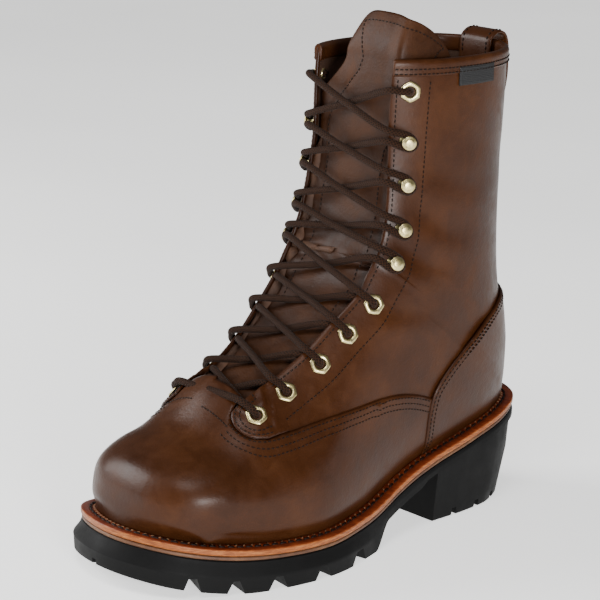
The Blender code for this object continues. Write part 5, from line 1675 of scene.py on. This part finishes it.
def lace_points(first_side):
    """The way of half the lace, from the middle of the bar to the inside of a top eyelet.

    It goes down the lowest eyelet, crosses under the flaps to the next, comes out, crosses over its own
    flap and under the other, and above the fifth eyelet goes round the hooks to the top eyelet.
    """
    radius = LACE_DIAMETER / 2
    side = first_side
    way = []

    def off(station, from_edge, height, shift=0.0):
        """A point at a station: its distance below the throat's edge, height over the face and shift upward."""
        number = STATIONS[station][0]
        spot, normal, upward = edge_place(number, side, max(from_edge, 0.0))
        inward = np.array([-side * max(-from_edge, 0.0), 0.0, 0.0])
        return spot + normal * (height + seat_lift(station) * (height > 0)) + upward * shift + inward

    way += [off(0, 0.0, radius + 0.8), off(0, 5.0, radius + 1.0), off(0, 9.3, 2.6)]
    way += [off(0, 11.0, 0.0), off(0, 11.0, -4.2)]
    middle = way[0].copy()
    middle[0] = 0.0
    way.insert(0, middle)
    way += [off(0, 5.0, -WALL - radius - 0.6, 2.0), off(0, -1.5, -2.0, 3.0)]
    for station in range(len(STATIONS) - 1):
        turn = 1.0 if (station % 2 == 0) == (first_side > 0) else -1.0
        # The halves pass each other at the middle line, one just over and one just under
        start = way[-1]
        halfway = (STATIONS[station][0] + STATIONS[station + 1][0]) / 2
        shift = base_normal(halfway, 0.0) * turn * radius * 1.02
        side = -side
        nxt = station + 1
        kind = STATIONS[nxt][1]
        if kind == "eyelet" and nxt < len(STATIONS) - 1:
            arrive = [off(nxt, -1.5, -1.6, -3.0), off(nxt, 5.0, -WALL - radius - 0.6, -2.0),
                      off(nxt, 10.6, -4.2)]
            leave = [off(nxt, 11.0, 0.0), off(nxt, 9.3, 2.8), off(nxt, 5.0, radius + 1.0),
                     off(nxt, 0.0, radius + 0.8)]
        elif kind == "hook":
            arrive = [off(nxt, 0.0, radius + 0.8, -3.0), off(nxt, 8.0, 3.3, -3.7), off(nxt, 12.6, 3.3, -3.1)]
            leave = [off(nxt, 14.9, 3.3, 0.0), off(nxt, 12.6, 3.3, 3.1), off(nxt, 8.0, 3.3, 3.7),
                     off(nxt, 0.0, radius + 0.8, 3.0)]
        else:
            arrive = [off(nxt, 0.0, radius + 0.8), off(nxt, 5.0, radius + 1.0), off(nxt, 9.3, 2.6)]
            leave = [off(nxt, 11.0, 0.0), off(nxt, 11.0, -5.0)]
        way.append((start + arrive[0]) / 2 + shift)
        way += arrive + leave
    return np.array(way)


def smooth_way(points, spacing=0.9):
    """Centripetal curve through the points, resampled evenly."""
    gaps = np.sqrt(np.linalg.norm(np.diff(points, axis=0), axis=1))
    knots = np.concatenate([[0.0], np.cumsum(gaps)])
    fine = np.linspace(0.0, knots[-1], 4000)
    curve = np.stack([table_curve(knots, points[:, i], fine) for i in range(3)], axis=1)
    steps = run_lengths(curve)
    return values_at(np.linspace(0.0, steps[-1], int(steps[-1] / spacing)), steps, curve), steps[-1]


def build_laces():
    """Both halves of the lace as one joined mesh of round tubes."""
    radius = LACE_DIAMETER / 2
    sides = 14
    all_points, all_groups, all_uv, total = [], [], [], 0
    whole = 0.0
    for first_side in (1, -1):
        path, length = smooth_way(lace_points(first_side))
        whole += length
        tangent = unit(np.gradient(path, axis=0))
        first = [np.cross(tangent[0], (0.0, 0.3, 1.0))]
        for direction in tangent[1:]:
            turned = first[-1] - direction * first[-1].dot(direction)
            first.append(turned / np.linalg.norm(turned))
        first = np.array(first)
        first[0] /= np.linalg.norm(first[0])
        second = np.cross(tangent, first)
        angles = np.arange(sides + 1) * 2 * math.pi / sides
        ring = np.cos(angles)[None, :, None] * first[:, None] + np.sin(angles)[None, :, None] * second[:, None]
        points = path[:, None] + radius * ring
        count = len(path)
        run = (np.arange(count) * length / count)[:, None]
        uv = np.stack(np.broadcast_arrays(angles[None, :] / (2 * math.pi), run), axis=-1)
        all_points.append(points.reshape(-1, 3))
        all_uv.append(uv.reshape(-1, 2))
        all_groups.append(grid_faces(count, sides + 1, start=total))
        total += count * (sides + 1)
    nodes = ["lace_bar"] + [f"lace_crossing_{i}" for i in range(1, len(STATIONS))]
    piece = add_mesh("lace", np.vstack(all_points), [np.vstack(all_groups)], [LACE], uv=np.vstack(all_uv))
    print("lace length in the boot, mm:", round(whole))
    return settle(piece, nodes)


# Camera, floor and light

CAMERA = (46.15, 14.26, 1214.24, 2183.81, (1.98, -122.39, 136.67), 2.71)


def set_camera():
    """Camera at the photograph's angle: azimuth, elevation, distance, focal length in pixels, target, roll."""
    azimuth, elevation, distance, focal, target, roll = CAMERA
    a, e, r = (math.radians(angle) for angle in (azimuth, elevation, roll))
    back = Vector((math.sin(a) * math.cos(e), -math.cos(a) * math.cos(e), math.sin(e)))
    right = Vector((math.cos(a), math.sin(a), 0.0))
    up = back.cross(right)
    right, up = right * math.cos(r) + up * math.sin(r), up * math.cos(r) - right * math.sin(r)
    made = bpy.data.objects.new("camera", bpy.data.cameras.new("camera"))
    made.data.sensor_width = 36.0
    made.data.lens = focal * 36.0 / 600.0
    made.data.clip_start = 0.05
    place = Matrix((right, up, back)).transposed().to_4x4()
    place.translation = (Vector(target) + back * distance) * MM
    made.matrix_world = place
    bpy.context.scene.collection.objects.link(made)
    bpy.context.scene.camera = made


def set_floor():
    """Pale studio floor, 12 m square."""
    made, tree, shader, place = new_finish("studio_floor", 0.6)
    pale = ramp(tree, noise(tree, place, 2.0, 2.0), ((0.3, "#f4f4f3"), (0.7, "#fafaf9")))
    # Lit through from below like a light table, so that it stays pale to the horizon
    dress(tree, shader, Base_Color=pale, Emission_Color=pale)
    shader.inputs["Emission Strength"].default_value = 1.05
    points = np.array([(-6.0, -6.0, 0.0), (6.0, -6.0, 0.0), (6.0, 6.0, 0.0), (-6.0, 6.0, 0.0)]) / MM
    floor = add_mesh("studio_floor", points, [np.array([[0, 1, 2, 3]])], [made])


# Columns: name, azimuth, elevation, distance in metres, size in metres, power in watts
LIGHTS = (
    ("left_softbox", -50.0, 22.0, 1.5, 0.9, 30.0),
    ("right_softbox", 62.0, 9.5, 1.5, 0.42, 24.0),
    ("front_softbox", 30.0, 60.0, 1.7, 0.6, 12.0),
)


def set_lights():
    """Softboxes aimed at the boot's middle, and a faint white world."""
    for name, azimuth, elevation, distance, size, power in LIGHTS:
        light = bpy.data.lights.new(name, "AREA")
        light.size = size
        light.energy = power
        made = bpy.data.objects.new(name, light)
        a, e = math.radians(azimuth), math.radians(elevation)
        back = Vector((math.sin(a) * math.cos(e), -math.cos(a) * math.cos(e), math.sin(e)))
        made.location = Vector((0.0, -0.1, 0.12)) + back * distance
        made.rotation_euler = back.to_track_quat("Z", "Y").to_euler()
        bpy.context.scene.collection.objects.link(made)
    world = bpy.data.worlds.new("studio")
    bpy.context.scene.world = world
    world.use_nodes = True
    world.node_tree.nodes["Background"].inputs["Color"].default_value = (1.0, 1.0, 1.0, 1.0)
    world.node_tree.nodes["Background"].inputs["Strength"].default_value = 0.15


def finish_nodes():
    """The footbed keeps its CAD shape and gets its fine finish."""
    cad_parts["insole"].material_slots[0].material = FOOTBED


def main():
    """Builds the boot from the upper down to the sole, then its metal and lace, then the studio."""
    build_quarters()
    build_panels()
    build_binding()
    build_seams()
    build_collar_seams()
    build_tongue()
    build_welt()
    build_midsole()
    build_outsole()
    build_heel()
    build_pull_loop()
    build_side_tag()
    build_metal("eyelet", EYELET_PROFILE, 48, True, hexagon)
    build_metal("hook", HOOK_PROFILE, 40, False)
    build_laces()
    finish_nodes()
    set_camera()
    set_floor()
    set_lights()


main()
